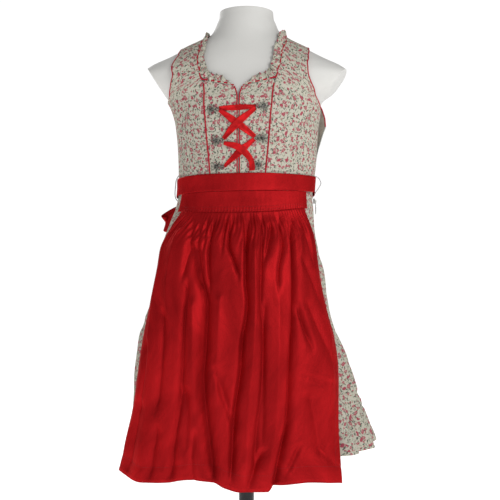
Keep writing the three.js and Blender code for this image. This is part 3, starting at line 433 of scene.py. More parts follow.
def stitches(name, points, out, finish, pitch=3.2, length=2.2, radius=0.22):
    """A line of separate thread stitches that dip into the cloth at their ends."""
    steps = lengths(points[None], 1)[0]
    starts = np.arange(0.5 * pitch, steps[-1] - pitch, pitch)
    share = np.array([0.0, 0.22, 0.5, 0.78, 1.0])
    width = np.array([0.3, 0.9, 1.0, 0.9, 0.3]) * radius
    lift = np.array([-0.5, 0.6, 1.0, 0.6, -0.5]) * radius
    at = starts[:, None] + share[None] * length
    place = np.stack([np.interp(at, steps, points[:, k]) for k in range(3)], -1)
    up = unit(np.stack([np.interp(at, steps, out[:, k]) for k in range(3)], -1))
    along = unit(np.gradient(place, axis=1))
    side = np.cross(up, along)
    sides = 5
    turn = np.linspace(0, 2 * math.pi, sides, endpoint=False)
    ring = side[..., None, :] * np.cos(turn)[:, None] + up[..., None, :] * np.sin(turn)[:, None]
    centre = place + up * lift[None, :, None]
    body = centre[..., None, :] + ring * width[None, :, None, None]
    count = len(starts)
    number = np.arange(count * 5 * sides).reshape(count, 5, sides)
    after = np.roll(number, -1, axis=2)
    quads = np.stack([number[:, :-1], after[:, :-1], after[:, 1:], number[:, 1:]], -1).reshape(-1, 4)
    caps = np.concatenate([number[:, 0, ::-1], number[:, -1]]).tolist()
    mesh = bpy.data.meshes.new(name)
    mesh.from_pydata((body.reshape(-1, 3) * MM).tolist(), [], quads.tolist() + caps)
    mesh.materials.append(finish)
    mesh.polygons.foreach_set("use_smooth", np.ones(len(mesh.polygons), bool))
    return linked(name, mesh)


# Finishes

def colour(red, green, blue):
    """A display colour, 0 to 255, as a linear one."""
    def linear(c):
        c /= 255
        return c / 12.92 if c <= 0.04045 else ((c + 0.055) / 1.055) ** 2.4
    return linear(red), linear(green), linear(blue), 1.0


class Value:
    """A shader socket with arithmetic, where each operator adds a Math node."""

    def __init__(self, paint, socket):
        self.paint = paint
        self.socket = socket

    def __add__(self, other):
        return self.paint.maths("ADD", self, other)

    def __mul__(self, other):
        return self.paint.maths("MULTIPLY", self, other)

    def __truediv__(self, other):
        return self.paint.maths("DIVIDE", self, other)

    __radd__ = __add__
    __rmul__ = __mul__


class Paint:
    """A material that is built up around one Principled shader."""

    def __init__(self, name, **constants):
        self.material = bpy.data.materials.new(name)
        self.material.use_nodes = True
        self.tree = self.material.node_tree
        self.tree.nodes.clear()
        self.shader = self.node("ShaderNodeBsdfPrincipled")
        self.set(constants)
        self.node("ShaderNodeOutputMaterial", {}, {"Surface": self.shader.outputs["BSDF"]})

    def feed(self, socket, value):
        if isinstance(value, Value):
            value = value.socket
        if isinstance(value, bpy.types.NodeSocket):
            self.tree.links.new(value, socket)
        else:
            socket.default_value = value

    def node(self, kind, settings=None, inputs=None):
        made = self.tree.nodes.new(kind)
        for key, value in (settings or {}).items():
            setattr(made, key, value)
        for key, value in (inputs or {}).items():
            self.feed(made.inputs[key], value)
        return made

    def maths(self, operation, *values):
        made = self.node("ShaderNodeMath", {"operation": operation}, dict(enumerate(values)))
        return Value(self, made.outputs[0])

    def vector(self, operation, *values):
        made = self.node("ShaderNodeVectorMath", {"operation": operation}, dict(enumerate(values)))
        return made.outputs["Vector"]

    def split(self, vector):
        made = self.node("ShaderNodeSeparateXYZ", {}, {0: vector})
        return tuple(Value(self, made.outputs[k]) for k in range(3))

    def place(self):
        """The cloth's own map, in millimetres."""
        made = self.node("ShaderNodeUVMap", {"uv_map": "cloth"})
        return self.vector("MULTIPLY", made.outputs["UV"], (1000, 1000, 0))

    def solid_place(self):
        """The object's own place, in millimetres."""
        made = self.node("ShaderNodeTexCoord")
        return self.vector("MULTIPLY", made.outputs["Object"], (1000, 1000, 1000))

    def noise(self, vector, scale, detail=3.0, stretch=(1, 1, 1)):
        moved = self.vector("MULTIPLY", vector, tuple(scale * k for k in stretch))
        made = self.node("ShaderNodeTexNoise", {}, {"Vector": moved, "Scale": 1.0, "Detail": detail})
        return Value(self, made.outputs["Fac"])

    def below(self, value, limit, softness):
        """1 where a value is under its limit, 0 above and soft between."""
        made = self.node("ShaderNodeMapRange", {"interpolation_type": "SMOOTHSTEP"}, {
            "Value": value, "From Min": limit - softness, "From Max": limit + softness,
            "To Min": 1.0, "To Max": 0.0,
        })
        return Value(self, made.outputs[0])

    def blend(self, share, first, second):
        made = self.node("ShaderNodeMix", {"data_type": "RGBA"}, {0: share, 6: first, 7: second})
        return made.outputs[2]

    def bump(self, height, distance, strength=1.0, under=None):
        inputs = {"Strength": strength, "Distance": distance, "Height": height}
        if under is not None:
            inputs["Normal"] = under
        return self.node("ShaderNodeBump", {}, inputs).outputs["Normal"]

    def set(self, values):
        sockets = {socket.name.lower().replace(" ", "_"): socket for socket in self.shader.inputs}
        for key, value in values.items():
            self.feed(sockets[key], value)

    def finish(self, **links):
        self.set(links)
        return self.material


def scattered(paint, place, cell, shift):
    """Motif coordinates in millimetres, each cell turned its own way, with the cell's chance numbers."""
    scaled = paint.vector("MULTIPLY", place, (1 / cell, 1 / cell, 0))
    moved = paint.vector("ADD", scaled, (shift, 2.3 * shift, 0))
    cells = paint.node("ShaderNodeTexVoronoi", {"voronoi_dimensions": "2D"},
                       {"Vector": moved, "Scale": 1.0, "Randomness": 0.75})
    offset = paint.vector("SUBTRACT", moved, cells.outputs["Position"])
    chance = paint.split(cells.outputs["Color"])
    turned = paint.node("ShaderNodeVectorRotate", {"rotation_type": "Z_AXIS"},
                        {"Vector": offset, "Angle": chance[0] * (2 * math.pi)})
    x, y, _ = paint.split(paint.vector("MULTIPLY", turned.outputs[0], (cell, cell, 0)))
    return x, y, chance


def weave(paint, place, pitch):
    """A plain weave's height."""
    x, y, _ = paint.split(place)
    turn = 2 * math.pi / pitch
    return paint.maths("SINE", x * turn) * paint.maths("SINE", y * turn)


def print_cloth(name, ground, blossom, leaf, strength=1.0):
    """Fine cotton with small scattered blossoms, buds and leaves."""
    paint = Paint(name, roughness=0.85, specular_ior_level=0.15)
    place = paint.place()
    drift = paint.noise(place, 0.035, 2.0)
    shade = paint.blend(drift, tuple(0.9 * c for c in ground[:3]) + (1,), ground)
    sage = colour(142, 148, 128)
    # Each row is a leaf shape: cell, shift, half length, half width, bend, colour, share of full strength
    leaves = [
        (6.6, 1.7, 2.6, 0.75, 0.10, sage, 0.8),
        (7.9, 9.1, 2.3, 0.95, -0.12, sage, 0.7),
        (9.4, 4.3, 3.7, 0.42, 0.12, leaf, 0.75),
        (7.3, 13.9, 1.9, 0.8, 0.0, leaf, 0.9),
        (9.8, 21.7, 2.5, 1.0, -0.1, leaf, 0.95),
    ]
    for cell, shift, long, wide, bend, tint, share in leaves:
        x, y, chance = scattered(paint, place, cell, shift)
        curved = y + x * x * bend
        reach = paint.maths("POWER", x / long, 2.0) + paint.maths("POWER", curved / wide, 2.0)
        mask = paint.below(reach, 1.0, 0.35) * paint.below(chance[1], 0.8, 0.02)
        shade = paint.blend(mask * (share * strength), shade, tint)
    pale = tuple(mix(a, b, 0.55) for a, b in zip(blossom[:3], ground[:3])) + (1,)
    # Each row is a blossom: cell, shift, radius, petals, share of cells
    blossoms = [
        (14.5, 3.1, 3.5, 2, 0.9),
        (12.5, 17.3, 2.6, 3, 0.75),
        (9.2, 27.1, 1.5, 2, 0.8),
    ]
    for cell, shift, radius, petals, share in blossoms:
        x, y, chance = scattered(paint, place, cell, shift)
        away = paint.maths("SQRT", x * x + y * y)
        angle = paint.maths("ARCTAN2", y, x)
        edge = paint.maths("COSINE", angle * petals) * 0.2 + 0.78
        size = (chance[2] * 0.45 + 0.75) * radius
        reach = away / (edge * size)
        kept = paint.below(chance[1], share, 0.02)
        shade = paint.blend(paint.below(reach, 1.0, 0.2) * kept * (0.95 * strength), shade, blossom)
        heart = paint.below(reach, 0.5, 0.25) * kept * paint.below(chance[0], 0.6, 0.1)
        shade = paint.blend(heart * (0.75 * strength), shade, pale)
    height = weave(paint, place, 0.7) * 0.3 + paint.noise(place, 0.9, 2.0)
    return paint.finish(base_color=shade, normal=paint.bump(height, 0.00015, 0.5))


def taffeta(name, tint):
    """Crisp plain-woven silk-like cloth with slubs and small crumples, its colour painted darker and lighter
    in long streaks and broad soft patches as painted sheen and shade.
    """
    gloss = (1.0, 0.1, 0.1, 1.0)
    paint = Paint(name, metallic=0.55, anisotropic=0.4, specular_ior_level=0.03, specular_tint=gloss)
    place = paint.place()
    slub = paint.noise(place, 0.9, 2.0, (0.07, 2.2, 1))
    # Broad soft patches, painted darker, and long streaks, painted darker and lighter, are painted shade and
    # sheen of the taffeta; the slubs are the yarn's own.
    cloud = paint.below(paint.noise(place, 0.016, 3.0, (1, 0.55, 1)), 0.5, 0.16)
    streak_and_painted_sheen = paint.noise(place, 0.05, 3.0, (1, 0.12, 1))
    # The dark and light ends of the colour serve both the real slubs and the painted sheen and shade.
    slub_and_painted_shade_dark = tuple(0.5 * c for c in tint[:3]) + (1,)
    light = tuple(min(1.0, 1.12 * c) for c in tint[:3]) + (1,)
    shade = paint.blend(slub * 0.35 + streak_and_painted_sheen * 0.6 + cloud * -0.36 + 0.28, slub_and_painted_shade_dark, light)
    crumple = paint.noise(place, 0.05, 3.0, (1, 0.45, 1))
    fine = paint.bump(weave(paint, place, 0.55) * 0.4 + slub, 0.00012, 0.5)
    return paint.finish(
        base_color=shade,
        roughness=slub * 0.16 + 0.4,
        normal=paint.bump(crumple, 0.005, 0.4, fine),
    )


def satin(name, tint):
    """Smooth ribbon with a woven edge, its colour painted darker in soft patches and streaks as shade and
    sheen on its turns.
    """
    paint = Paint(name, metallic=0.4, anisotropic=0.5, specular_ior_level=0.1)
    place = paint.place()
    streak_and_painted_sheen = paint.noise(place, 0.8, 2.0, (0.15, 3.0, 1))
    # Soft patches painted darker in the colour are painted shade on the ribbon; the streaks also darken the
    # colour as painted sheen, besides setting roughness and bumps.
    painted_shade_patches = paint.below(paint.noise(place, 0.07, 2.0), 0.5, 0.14)
    shade = paint.blend(streak_and_painted_sheen * 0.4 + painted_shade_patches * 0.6, tint, tuple(0.42 * c for c in tint[:3]) + (1,))
    return paint.finish(base_color=shade, roughness=streak_and_painted_sheen * 0.12 + 0.28,
                        normal=paint.bump(streak_and_painted_sheen, 0.0001, 0.4))


def covered_cord(name, tint):
    """Bias strip drawn over a filler cord, with its slanting weave."""
    paint = Paint(name, roughness=0.6, specular_ior_level=0.2)
    place = paint.place()
    x, y, _ = paint.split(place)
    slant = paint.maths("SINE", (x + y) * 4.2) * 0.5 + 0.5
    dirt = paint.noise(place, 0.3, 2.0)
    shade = paint.blend(slant * 0.35 + dirt * 0.4, tint, tuple(0.6 * c for c in tint[:3]) + (1,))
    return paint.finish(base_color=shade, normal=paint.bump(slant, 0.0002, 0.5))


def form_cover():
    """Smooth jersey-covered form with a matt, slightly uneven face."""
    paint = Paint("form_cover", roughness=0.62, sheen_weight=0.05)
    place = paint.solid_place()
    cloud = paint.noise(place, 0.01, 2.0)
    grain = paint.noise(place, 1.6, 2.0)
    shade = paint.blend(cloud, colour(200, 199, 195), colour(212, 211, 207))
    return paint.finish(base_color=shade, roughness=grain * 0.12 + 0.55,
                        normal=paint.bump(grain, 0.00012, 0.35))


def black_metal():
    """Powder-coated steel with a little dust."""
    paint = Paint("black_metal", metallic=0.2)
    place = paint.solid_place()
    orange_peel = paint.noise(place, 0.5, 2.0)
    dust = paint.noise(place, 0.02, 4.0)
    shade = paint.blend(dust, colour(18, 18, 20), colour(38, 38, 41))
    return paint.finish(base_color=shade, roughness=dust * 0.25 + 0.3,
                        normal=paint.bump(orange_peel, 0.0002, 0.3))


def old_silver(name, light, dark):
    """Antiqued metal: darker and rougher in patches."""
    paint = Paint(name, metallic=0.9)
    place = paint.solid_place()
    tarnish = paint.noise(place, 0.45, 4.0)
    shade = paint.blend(paint.below(tarnish, 0.5, 0.12), light, dark)
    return paint.finish(base_color=shade, roughness=tarnish * 0.35 + 0.2,
                        normal=paint.bump(tarnish, 0.0002, 0.5))


def zip_white():
    """Woven tape of the zip."""
    paint = Paint("zip_tape", roughness=0.8, sheen_weight=0.1)
    place = paint.place()
    height = weave(paint, place, 0.6)
    shade = paint.blend(height * 0.5 + 0.5, colour(196, 196, 188), colour(228, 228, 221))
    return paint.finish(base_color=shade, normal=paint.bump(height, 0.0001, 0.5))


def tooth_plastic():
    paint = Paint("zip_teeth", specular_ior_level=0.5)
    cloud = paint.noise(paint.solid_place(), 0.2, 2.0)
    shade = paint.blend(cloud, colour(214, 214, 208), colour(236, 236, 231))
    return paint.finish(base_color=shade, roughness=cloud * 0.2 + 0.3)


def loop_cord():
    """Thin, slightly see-through satin cord of the hanger loops."""
    paint = Paint("hanger_cord", roughness=0.4, sheen_weight=0.1)
    x, y, _ = paint.split(paint.place())
    strand = paint.maths("SINE", y * 5.0 + x * 2.0) * 0.5 + 0.5
    shade = paint.blend(strand, colour(176, 180, 182), colour(214, 217, 218))
    return paint.finish(base_color=shade, alpha=strand * 0.2 + 0.75, normal=paint.bump(strand, 0.0002, 0.5))


def thread(name, tint):
    paint = Paint(name, roughness=0.55)
    grain = paint.noise(paint.solid_place(), 2.0, 1.0)
    return paint.finish(base_color=paint.blend(grain, tuple(0.75 * c for c in tint[:3]) + (1,), tint))


FINISHES = {}


def finish(name):
    return FINISHES[name]


# The user's sizes and colours

def tint_property(name, description, default):
    return bpy.props.FloatVectorProperty(
        name=name, description=description, subtype="COLOR", size=4, min=0, max=1, default=default
    )


class DirndlColours(bpy.types.PropertyGroup):
    ground: tint_property("Ground", "Ground of the printed cotton", colour(190, 186, 171))
    blossom: tint_property("Blossom", "Blossoms of the print", colour(158, 62, 80))
    leaf: tint_property("Leaf", "Leaves of the print", colour(78, 82, 74))
    lining: tint_property("Wrong side", "Unprinted side of the cotton", colour(224, 214, 200))
    apron: tint_property("Apron", "Taffeta of the apron and its ties", colour(177, 27, 31))
    lacing: tint_property("Lacing", "Satin ribbon of the lacing", colour(214, 30, 34))
    piping: tint_property("Piping", "Bias strip of the pipings", colour(178, 20, 44))


class DirndlSizes(bpy.types.PropertyGroup):
    cloth_thickness: bpy.props.FloatProperty(
        name="Cloth thickness", description="How thick the cotton is",
        default=1.1 * MM, min=0.3 * MM, max=1.5 * MM, subtype="DISTANCE", unit="LENGTH", precision=4,
    )
    taffeta_thickness: bpy.props.FloatProperty(
        name="Taffeta thickness", description="How thick the apron and its ties are",
        default=1.0 * MM, min=0.3 * MM, max=1.5 * MM, subtype="DISTANCE", unit="LENGTH", precision=4,
    )
    fold_strength: bpy.props.FloatProperty(
        name="Fold strength", description="How deep the apron's folds are, as a share of their real depth",
        subtype="FACTOR", default=1.0, min=0.0, max=1.0,
    )
    ruffle_waves: bpy.props.IntProperty(
        name="Ruffle waves", description="How many waves the neck ruffle has", default=60, min=20, max=90
    )
    piping_radius: bpy.props.FloatProperty(
        name="Piping radius", description="Radius of the covered cords along the seams",
        default=1.25 * MM, min=0.8 * MM, max=1.5 * MM, subtype="DISTANCE", unit="LENGTH", precision=4,
    )


# The form and its stand

STUB_CUTS = [
    {"underarm": (-138, 0, 820), "facing": (-0.834, 0, -0.552)},
    {"underarm": (139, 0, 816), "facing": (0.822, -0.138, -0.552)},
]
STUB_CUT_SIZE = (120, 260, 130)


def stub_cutter(underarm, facing):
    out = Vector(facing).normalized()
    level = (Vector((0, 1, 0)) - out * out.y).normalized()
    up = out.cross(level)
    if up.z < 0:
        up.negate()
    right = up.cross(out)
    centre = Vector(underarm) + out * STUB_CUT_SIZE[0] / 2 + up * STUB_CUT_SIZE[2] / 2
    bpy.ops.mesh.primitive_cube_add(size=1)
    cutter = bpy.context.view_layer.objects.active
    turn = Matrix((out, right, up)).transposed().to_4x4()
    scale = Matrix.Diagonal((*(side * MM for side in STUB_CUT_SIZE), 1))
    cutter.matrix_world = Matrix.Translation(centre * MM) @ turn @ scale
    return settle(cutter, "stub_cutter")


class DIRNDL_OT_form(bpy.types.Operator):
    """Model the limbless form with its neck and cut arm stubs"""

    bl_idname = "dirndl.form"
    bl_label = "Form"

    def execute(self, context):
        sides, rings = 112, 150
        body_height = (NECK_TOP - TORSO_BOTTOM) * MM
        bpy.ops.object.select_all(action="DESELECT")
        bpy.ops.mesh.primitive_cylinder_add(vertices=sides, radius=0.1, depth=body_height)
        obj = settle(bpy.context.view_layer.objects.active, "form_body")
        bpy.ops.object.mode_set(mode="EDIT")
        for k in range(1, rings):
            bpy.ops.mesh.select_all(action="SELECT")
            level = (k / rings - 0.5) * body_height
            bpy.ops.mesh.bisect(plane_co=(0, 0, level), plane_no=(0, 0, 1))
        bpy.ops.object.mode_set(mode="OBJECT")
        co = np.zeros(len(obj.data.vertices) * 3)
        obj.data.vertices.foreach_get("co", co)
        co = co.reshape(-1, 3)
        z = (co[:, 2] / body_height + 0.5) * (NECK_TOP - TORSO_BOTTOM) + TORSO_BOTTOM
        shaped = form.base(np.arctan2(co[:, 0], -co[:, 1]), z) * MM
        obj.data.vertices.foreach_set("co", shaped.ravel())
        for cut in STUB_CUTS:
            cutter = stub_cutter(**cut)
            apply(obj, "BOOLEAN", object=cutter, operation="DIFFERENCE", solver="EXACT")
            bpy.data.objects.remove(cutter)
        apply(obj, "BEVEL", width=1.2 * MM, segments=3, limit_method="ANGLE", angle_limit=40 * DEGREE)
        only(obj)
        bpy.ops.object.shade_smooth_by_angle(angle=35 * DEGREE)
        obj.data.materials.append(finish("form"))
        dressed(obj, ["form_torso"])
        return {"FINISHED"}


class DIRNDL_OT_stand(bpy.types.Operator):
    """Model the pole and the round base"""

    bl_idname = "dirndl.stand"
    bl_label = "Stand"

    def execute(self, context):
        low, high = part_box("stand_pole")
        bpy.ops.object.select_all(action="DESELECT")
        bpy.ops.mesh.primitive_cylinder_add(
            vertices=64, radius=(high.x - low.x) / 2, depth=high.z - low.z, location=(low + high) / 2
        )
        pole = settle(bpy.context.view_layer.objects.active, "pole")
        apply(pole, "BEVEL", width=0.8 * MM, segments=3, limit_method="ANGLE", angle_limit=60 * DEGREE)
        only(pole)
        bpy.ops.object.shade_smooth_by_angle(angle=35 * DEGREE)
        pole.data.materials.append(finish("stand"))
        dressed(pole, ["stand_pole"])

        low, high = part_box("stand_base")
        radius, height = (high.x - low.x) / 2, high.z
        bpy.ops.object.select_all(action="DESELECT")
        bpy.ops.mesh.primitive_cylinder_add(
            vertices=160, radius=radius, depth=height, location=(0, 0, height / 2)
        )
        base = settle(bpy.context.view_layer.objects.active, "base")
        bpy.ops.object.mode_set(mode="EDIT")
        bpy.ops.mesh.select_mode(type="FACE")
        bpy.ops.mesh.select_all(action="DESELECT")
        edit = bmesh.from_edit_mesh(base.data)
        for face in edit.faces:
            face.select = face.normal.z > 0.9
        bmesh.update_edit_mesh(base.data)
        bpy.ops.mesh.inset(thickness=4 * MM, depth=0)
        bpy.ops.mesh.inset(thickness=110 * MM, depth=0)
        bpy.ops.object.mode_set(mode="OBJECT")
        apply(base, "BEVEL", width=2.2 * MM, segments=4, limit_method="ANGLE", angle_limit=60 * DEGREE)
        only(base)
        bpy.ops.object.shade_smooth_by_angle(angle=40 * DEGREE)
        base.data.materials.append(finish("stand"))
        dressed(base, ["stand_base"])
        return {"FINISHED"}


# The bodice

PRINCESS_HEIGHTS = [WAIST + 0.3, 690, 725, 757, 790, 815, 838]
PRINCESS_LEFT = [-60.5, -62, -65, -68, -70.5, -71.5, -72.5]
PRINCESS_RIGHT = [31, 32.5, 36, 38.5, 41, 43.5, 47]
BACK_LEFT_SEAM = [-34, -36, -41, -48, -55, -60, -65]
BACK_RIGHT_HEIGHTS = [WAIST + 0.3, 695, 722, 750, 775, 795, 815, 835, 858, 874]
BACK_RIGHT_SEAM = [58, 60.5, 63.5, 67, 70, 73, 75, 76.5, 77, 77]
SIDE_HEIGHTS = [WAIST + 0.3, 690, 725, 757, 786, 804, 813]
LEFT_SEAM = -92
FRONT_LEFT_EDGE = [around(LEFT_SEAM, z) for z in SIDE_HEIGHTS] + [
    seen(-134, 823), seen(-130, 839), seen(-126, 860), seen(-121, 886), seen(-117, 900),
    over(-114.5, -66), over(-112.5, -74), over(-111.3, -82), over(-110.5, -89.7),
]
FRONT_RIGHT_EDGE = [
    around(89.2, WAIST + 0.3), around(88, 690), around(87, 722), around(86, 753), around(86, 780),
    around(86, 796), seen(130, 804), seen(124, 815), seen(117, 828), seen(108, 848), seen(104, 872),
    seen(106, 893), over(107.5, 64), over(109, 72), over(110, 81), over(110.5, 89.7),
]
NECK_LEFT = [
    seen(-77, 846), seen(-80, 854), seen(-82.5, 868), seen(-84.5, 887), seen(-81, 907),
    over(-78, -52), over(-75, -65), over(-73, -78), over(-72, -89.7),
]
NECK_RIGHT = [
    seen(51, 849), seen(54, 857), seen(56.5, 869), seen(61, 888), seen(65.5, 907),
    over(68, 52), over(70, 65), over(71.5, 78), over(72.5, 89.7),
]
BACK_LEFT_EDGE = [around(360 + LEFT_SEAM - 0.2, z) for z in SIDE_HEIGHTS] + [
    behind(-132, 826), behind(-128, 842), behind(-124, 860), behind(-120, 880), behind(-117, 898),
    over(-114.5, 246), over(-112.5, 254), over(-111.3, 262), over(-110.5, 270.1),
]
BACK_RIGHT_EDGE = [
    around(94.8, WAIST + 0.3), around(96.2, 700), around(97.2, 730), around(97.5, 758), around(97.5, 781),
    around(98.5, 797), behind(132.5, 810), behind(132, 821), behind(129.5, 834), behind(126, 851),
    behind(121.5, 871), behind(117, 892), over(113, 116), over(112, 107), over(111, 98), over(110.5, 89.9),
]
BACK_NECK_LEFT = [
    behind(-68, 858), behind(-70, 874), behind(-72.5, 886), behind(-76, 897), behind(-77, 910),
    over(-76, 236), over(-74.5, 247), over(-73, 258), over(-72, 270.1),
]
BACK_NECK_RIGHT = [
    behind(78, 889), behind(78, 905), over(76, 124), over(74.5, 113), over(73.5, 102), over(72.5, 89.9),
]
# How far each place of BACK_RIGHT_EDGE stands off where the zip is open
FLAP_LIFT = [0, 0.4, 3.5, 10, 15.5, 11.5, 5.5, 1.2, 0, 0, 0, 0, 0, 0, 0, 0]
# Distances of the centre fronts' edges and of their cords from the middle line, at CENTRE_HEIGHTS
CENTRE_GAP = [0.4, 0.4, 0.4, 0.4, 0.4, 1.2, 4.6, 7.8]
CENTRE_CORD_GAP = [2.0, 2.0, 2.0, 2.0, 2.0, 2.2, 4.4, 6.9]
CENTRE_HEIGHTS = PRINCESS_HEIGHTS[:6] + [826, 832]
# How far the print is turned from one panel to the next, in radians
GRAIN_TURN = 0.06

# Soft creases of the worn bodice: place seen, half length, half width, depth, slope in degrees
BODICE_CREASES = [
    (-106, 700, 34, 5, 1.4, 62),
    (-98, 722, 30, 4.5, 1.1, 70),
    (-84, 690, 22, 4, 0.9, 80),
    (-104, 770, 26, 5, 1.0, -38),
    (-92, 742, 24, 5, 0.8, -50),
    (-34, 716, 22, 4, 0.7, 24),
    (96, 716, 36, 5.5, 1.3, -66),
    (84, 744, 30, 5, 0.9, -58),
    (104, 776, 26, 5, 1.0, 40),
    (60, 694, 20, 4, 0.8, -78),
    (14, 724, 20, 4, 0.6, -20),
    (-96, 866, 26, 6, 0.8, 72),
    (84, 868, 26, 6, 0.8, -70),
]
BACK_CREASES = [
    (-72, 700, 30, 5, 1.0, 66),
    (-50, 720, 28, 5, 0.9, 74),
    (20, 694, 26, 4.5, 0.9, -80),
    (84, 712, 30, 5, 1.0, -62),
    (-88, 782, 26, 5, 0.9, -44),
    (60, 800, 28, 6, 0.7, 30),
    (0, 752, 34, 6, 0.6, 6),
]


def creased(points, creases):
    """How far creases press a front surface in, by where each point is seen."""
    pressed = 0.0
    for x, z, long, wide, depth, slope in creases:
        c, s = math.cos(slope * DEGREE), math.sin(slope * DEGREE)
        dx, dz = points[..., 0] - x, points[..., 2] - z
        along, aside = (dx * c + dz * s) / long, (dz * c - dx * s) / wide
        pressed = pressed + depth * np.exp(-(along**2) - aside**2)
    return pressed


def seam(xs, shift, place=seen, heights=PRINCESS_HEIGHTS):
    return [place(x + shift, z) for x, z in zip(xs, heights)]


def panel_grid(start, end, columns, rows, lift=None):
    a, b = flow(start, rows), flow(end, rows)
    t = np.linspace(0, 1, columns)[None, :, None]
    places = a[:, None] * (1 - t) + b[:, None] * t
    angle, z = places[..., 0], places[..., 1]
    raised = 0.0
    if lift is not None:
        edge = flow([[k] for k in lift], rows)
        raised = np.maximum(edge, 0) * (1 - t[..., 0]) ** 2
    plain = cloth.base(angle, z)
    front = ease(-plain[..., 1], 0, 30)
    back = ease(plain[..., 1], 0, 30)
    pressed = creased(plain, BODICE_CREASES) * front + creased(plain, BACK_CREASES) * back
    wavy = 0.22 * ripple(angle * 14, z * 0.09, 3) + 0.12 * ripple(angle * 40, z * 0.2, 4)
    return cloth.point(angle, z, CLOTH_WALL + raised - np.minimum(pressed, 1.2) + np.minimum(wavy, 0.25))


class DIRNDL_OT_bodice(bpy.types.Operator):
    """Cut and sew the seven panels of the bodice"""

    bl_idname = "dirndl.bodice"
    bl_label = "Bodice"

    def execute(self, context):
        sizes = context.scene.dirndl_sizes
        inner_left = seam(PRINCESS_LEFT, SEAM) + [seen(-70.5, 843)]
        inner_right = seam(PRINCESS_RIGHT, -SEAM) + [seen(46, 846)]
        centre = {
            side: [seen(CENTRE_X + side * gap, z) for gap, z in zip(CENTRE_GAP, CENTRE_HEIGHTS)]
            for side in (-1, 1)
        }
        back_top = [behind(-68 + SEAM, 858), behind(-69 + SEAM, 866), behind(-70 + SEAM, 874)]
        right_back = seam(BACK_RIGHT_SEAM, SEAM, behind, BACK_RIGHT_HEIGHTS)
        left_back = seam(BACK_LEFT_SEAM, -SEAM, behind)
        # Each row: node, first edge, second edge, columns, rows, lift of the first edge
        panels = [
            ("bodice_centre_front_left", inner_left, centre[-1], 36, 90, None),
            ("bodice_centre_front_right", centre[1], inner_right, 36, 90, None),
            ("bodice_side_front_left", FRONT_LEFT_EDGE, seam(PRINCESS_LEFT, -SEAM) + NECK_LEFT,
             48, 150, None),
            ("bodice_side_front_right", seam(PRINCESS_RIGHT, SEAM) + NECK_RIGHT, FRONT_RIGHT_EDGE,
             60, 150, None),
            ("bodice_side_back_left", left_back + BACK_NECK_LEFT, BACK_LEFT_EDGE, 60, 150, None),
            ("bodice_side_back_right", BACK_RIGHT_EDGE, right_back + BACK_NECK_RIGHT, 48, 150, FLAP_LIFT),
            ("bodice_back_centre", seam(BACK_RIGHT_SEAM, -SEAM, behind, BACK_RIGHT_HEIGHTS),
             seam(BACK_LEFT_SEAM, SEAM, behind) + back_top, 70, 110, None),
        ]
        for number, (node, start, end, columns, rows, lift) in enumerate(panels):
            grid = panel_grid(start, end, columns, rows, lift)
            name = node.replace("bodice_", "bodice_cloth_")
            obj = shell(name, grid, sizes.cloth_thickness, [finish("print"), finish("wrong_side")],
                        turn=GRAIN_TURN * (number % 3 - 1))
            dressed(obj, [node])
            width, height = lengths(grid, 1)[:, -1].max(), lengths(grid, 0)[-1].max()
        return {"FINISHED"}


def panel_edge(places, rise=0.0, count=90):
    """Points and outward directions along an edge of the bodice."""
    run = paced(places, count, lambda p: cloth.point(p[:, 0], p[:, 1]))
    out = cloth.normal(run[:, 0], run[:, 1])
    return cloth.base(run[:, 0], run[:, 1]) + out * (CLOTH_WALL * 0.5 + rise), out


def beside(points, out, distance):
    """Moves an edge sideways within the cloth, to the right of its run as seen from outside."""
    along = unit(np.gradient(points, axis=0))
    return points + np.cross(along, out) * distance


class DIRNDL_OT_pipings(bpy.types.Operator):
    """Lay the covered cords along the seams, the neckline and the armholes"""

    bl_idname = "dirndl.pipings"
    bl_label = "Pipings"

    def execute(self, context):
        radius = context.scene.dirndl_sizes.piping_radius / MM
        centre = {
            side: [seen(CENTRE_X + side * gap, z) for gap, z in zip(CENTRE_CORD_GAP, CENTRE_HEIGHTS)]
            for side in (-1, 1)
        }
        left_corner = [seen(-70.5, 844.3), seen(-52, 841), seen(-34, 837.5), seen(CENTRE_X - 8.5, 833.3)]
        right_corner = [seen(46, 847.3), seen(30, 843), seen(12, 838.5), seen(CENTRE_X + 8.5, 833.3)]
        flap = [(angle, z, lift) for (angle, z), lift in zip(BACK_RIGHT_EDGE, FLAP_LIFT)]
        # Each row: name, places, rise over the cloth, shift beside the edge
        runs = [
            ("princess_piping_left", seam(PRINCESS_LEFT, 0), 0.95, 0),
            ("princess_piping_right", seam(PRINCESS_RIGHT, 0), 0.95, 0),
            ("centre_piping_left", centre[-1], 0.1, 0),
            ("centre_piping_right", centre[1], 0.1, 0),
            ("neck_piping_left", NECK_LEFT[::-1] + left_corner, 0.25, -0.9),
            ("neck_piping_right", NECK_RIGHT[::-1] + right_corner, 0.25, 0.9),
            ("neck_piping_back", BACK_NECK_RIGHT[::-1] + [behind(40, 874), behind(0, 874), behind(-40, 874)]
             + BACK_NECK_LEFT[1:], 0.25, 0.9),
            ("armhole_piping_left", FRONT_LEFT_EDGE[6:] + BACK_LEFT_EDGE[6:][::-1][1:], 0.1, -0.9),
            ("armhole_piping_right_front", FRONT_RIGHT_EDGE[6:], 0.1, 0.9),
        ]
        for name, places, rise, shift in runs:
            if name == "armhole_piping_left":
                places = [(angle if angle < 0 else angle - 2 * math.pi, z) for angle, z in places]
            points, out = panel_edge(places, rise)
            points = beside(points, out, shift)
            obj = tube(name.replace("piping", "cord"), points, radius, 10, finish("piping"))
            dressed(obj, [name])
        run = paced(flap[4:15], 80, lambda p: cloth.point(p[:, 0], p[:, 1], p[:, 2]))
        out = cloth.normal(run[:, 0], run[:, 1])
        points = cloth.point(run[:, 0], run[:, 1], run[:, 2] + CLOTH_WALL * 0.5 + 0.1)
        points = beside(points, out, -0.9)
        obj = tube("armhole_cord_right_back", points, radius, 10, finish("piping"))
        dressed(obj, ["armhole_piping_right_back"])
        return {"FINISHED"}


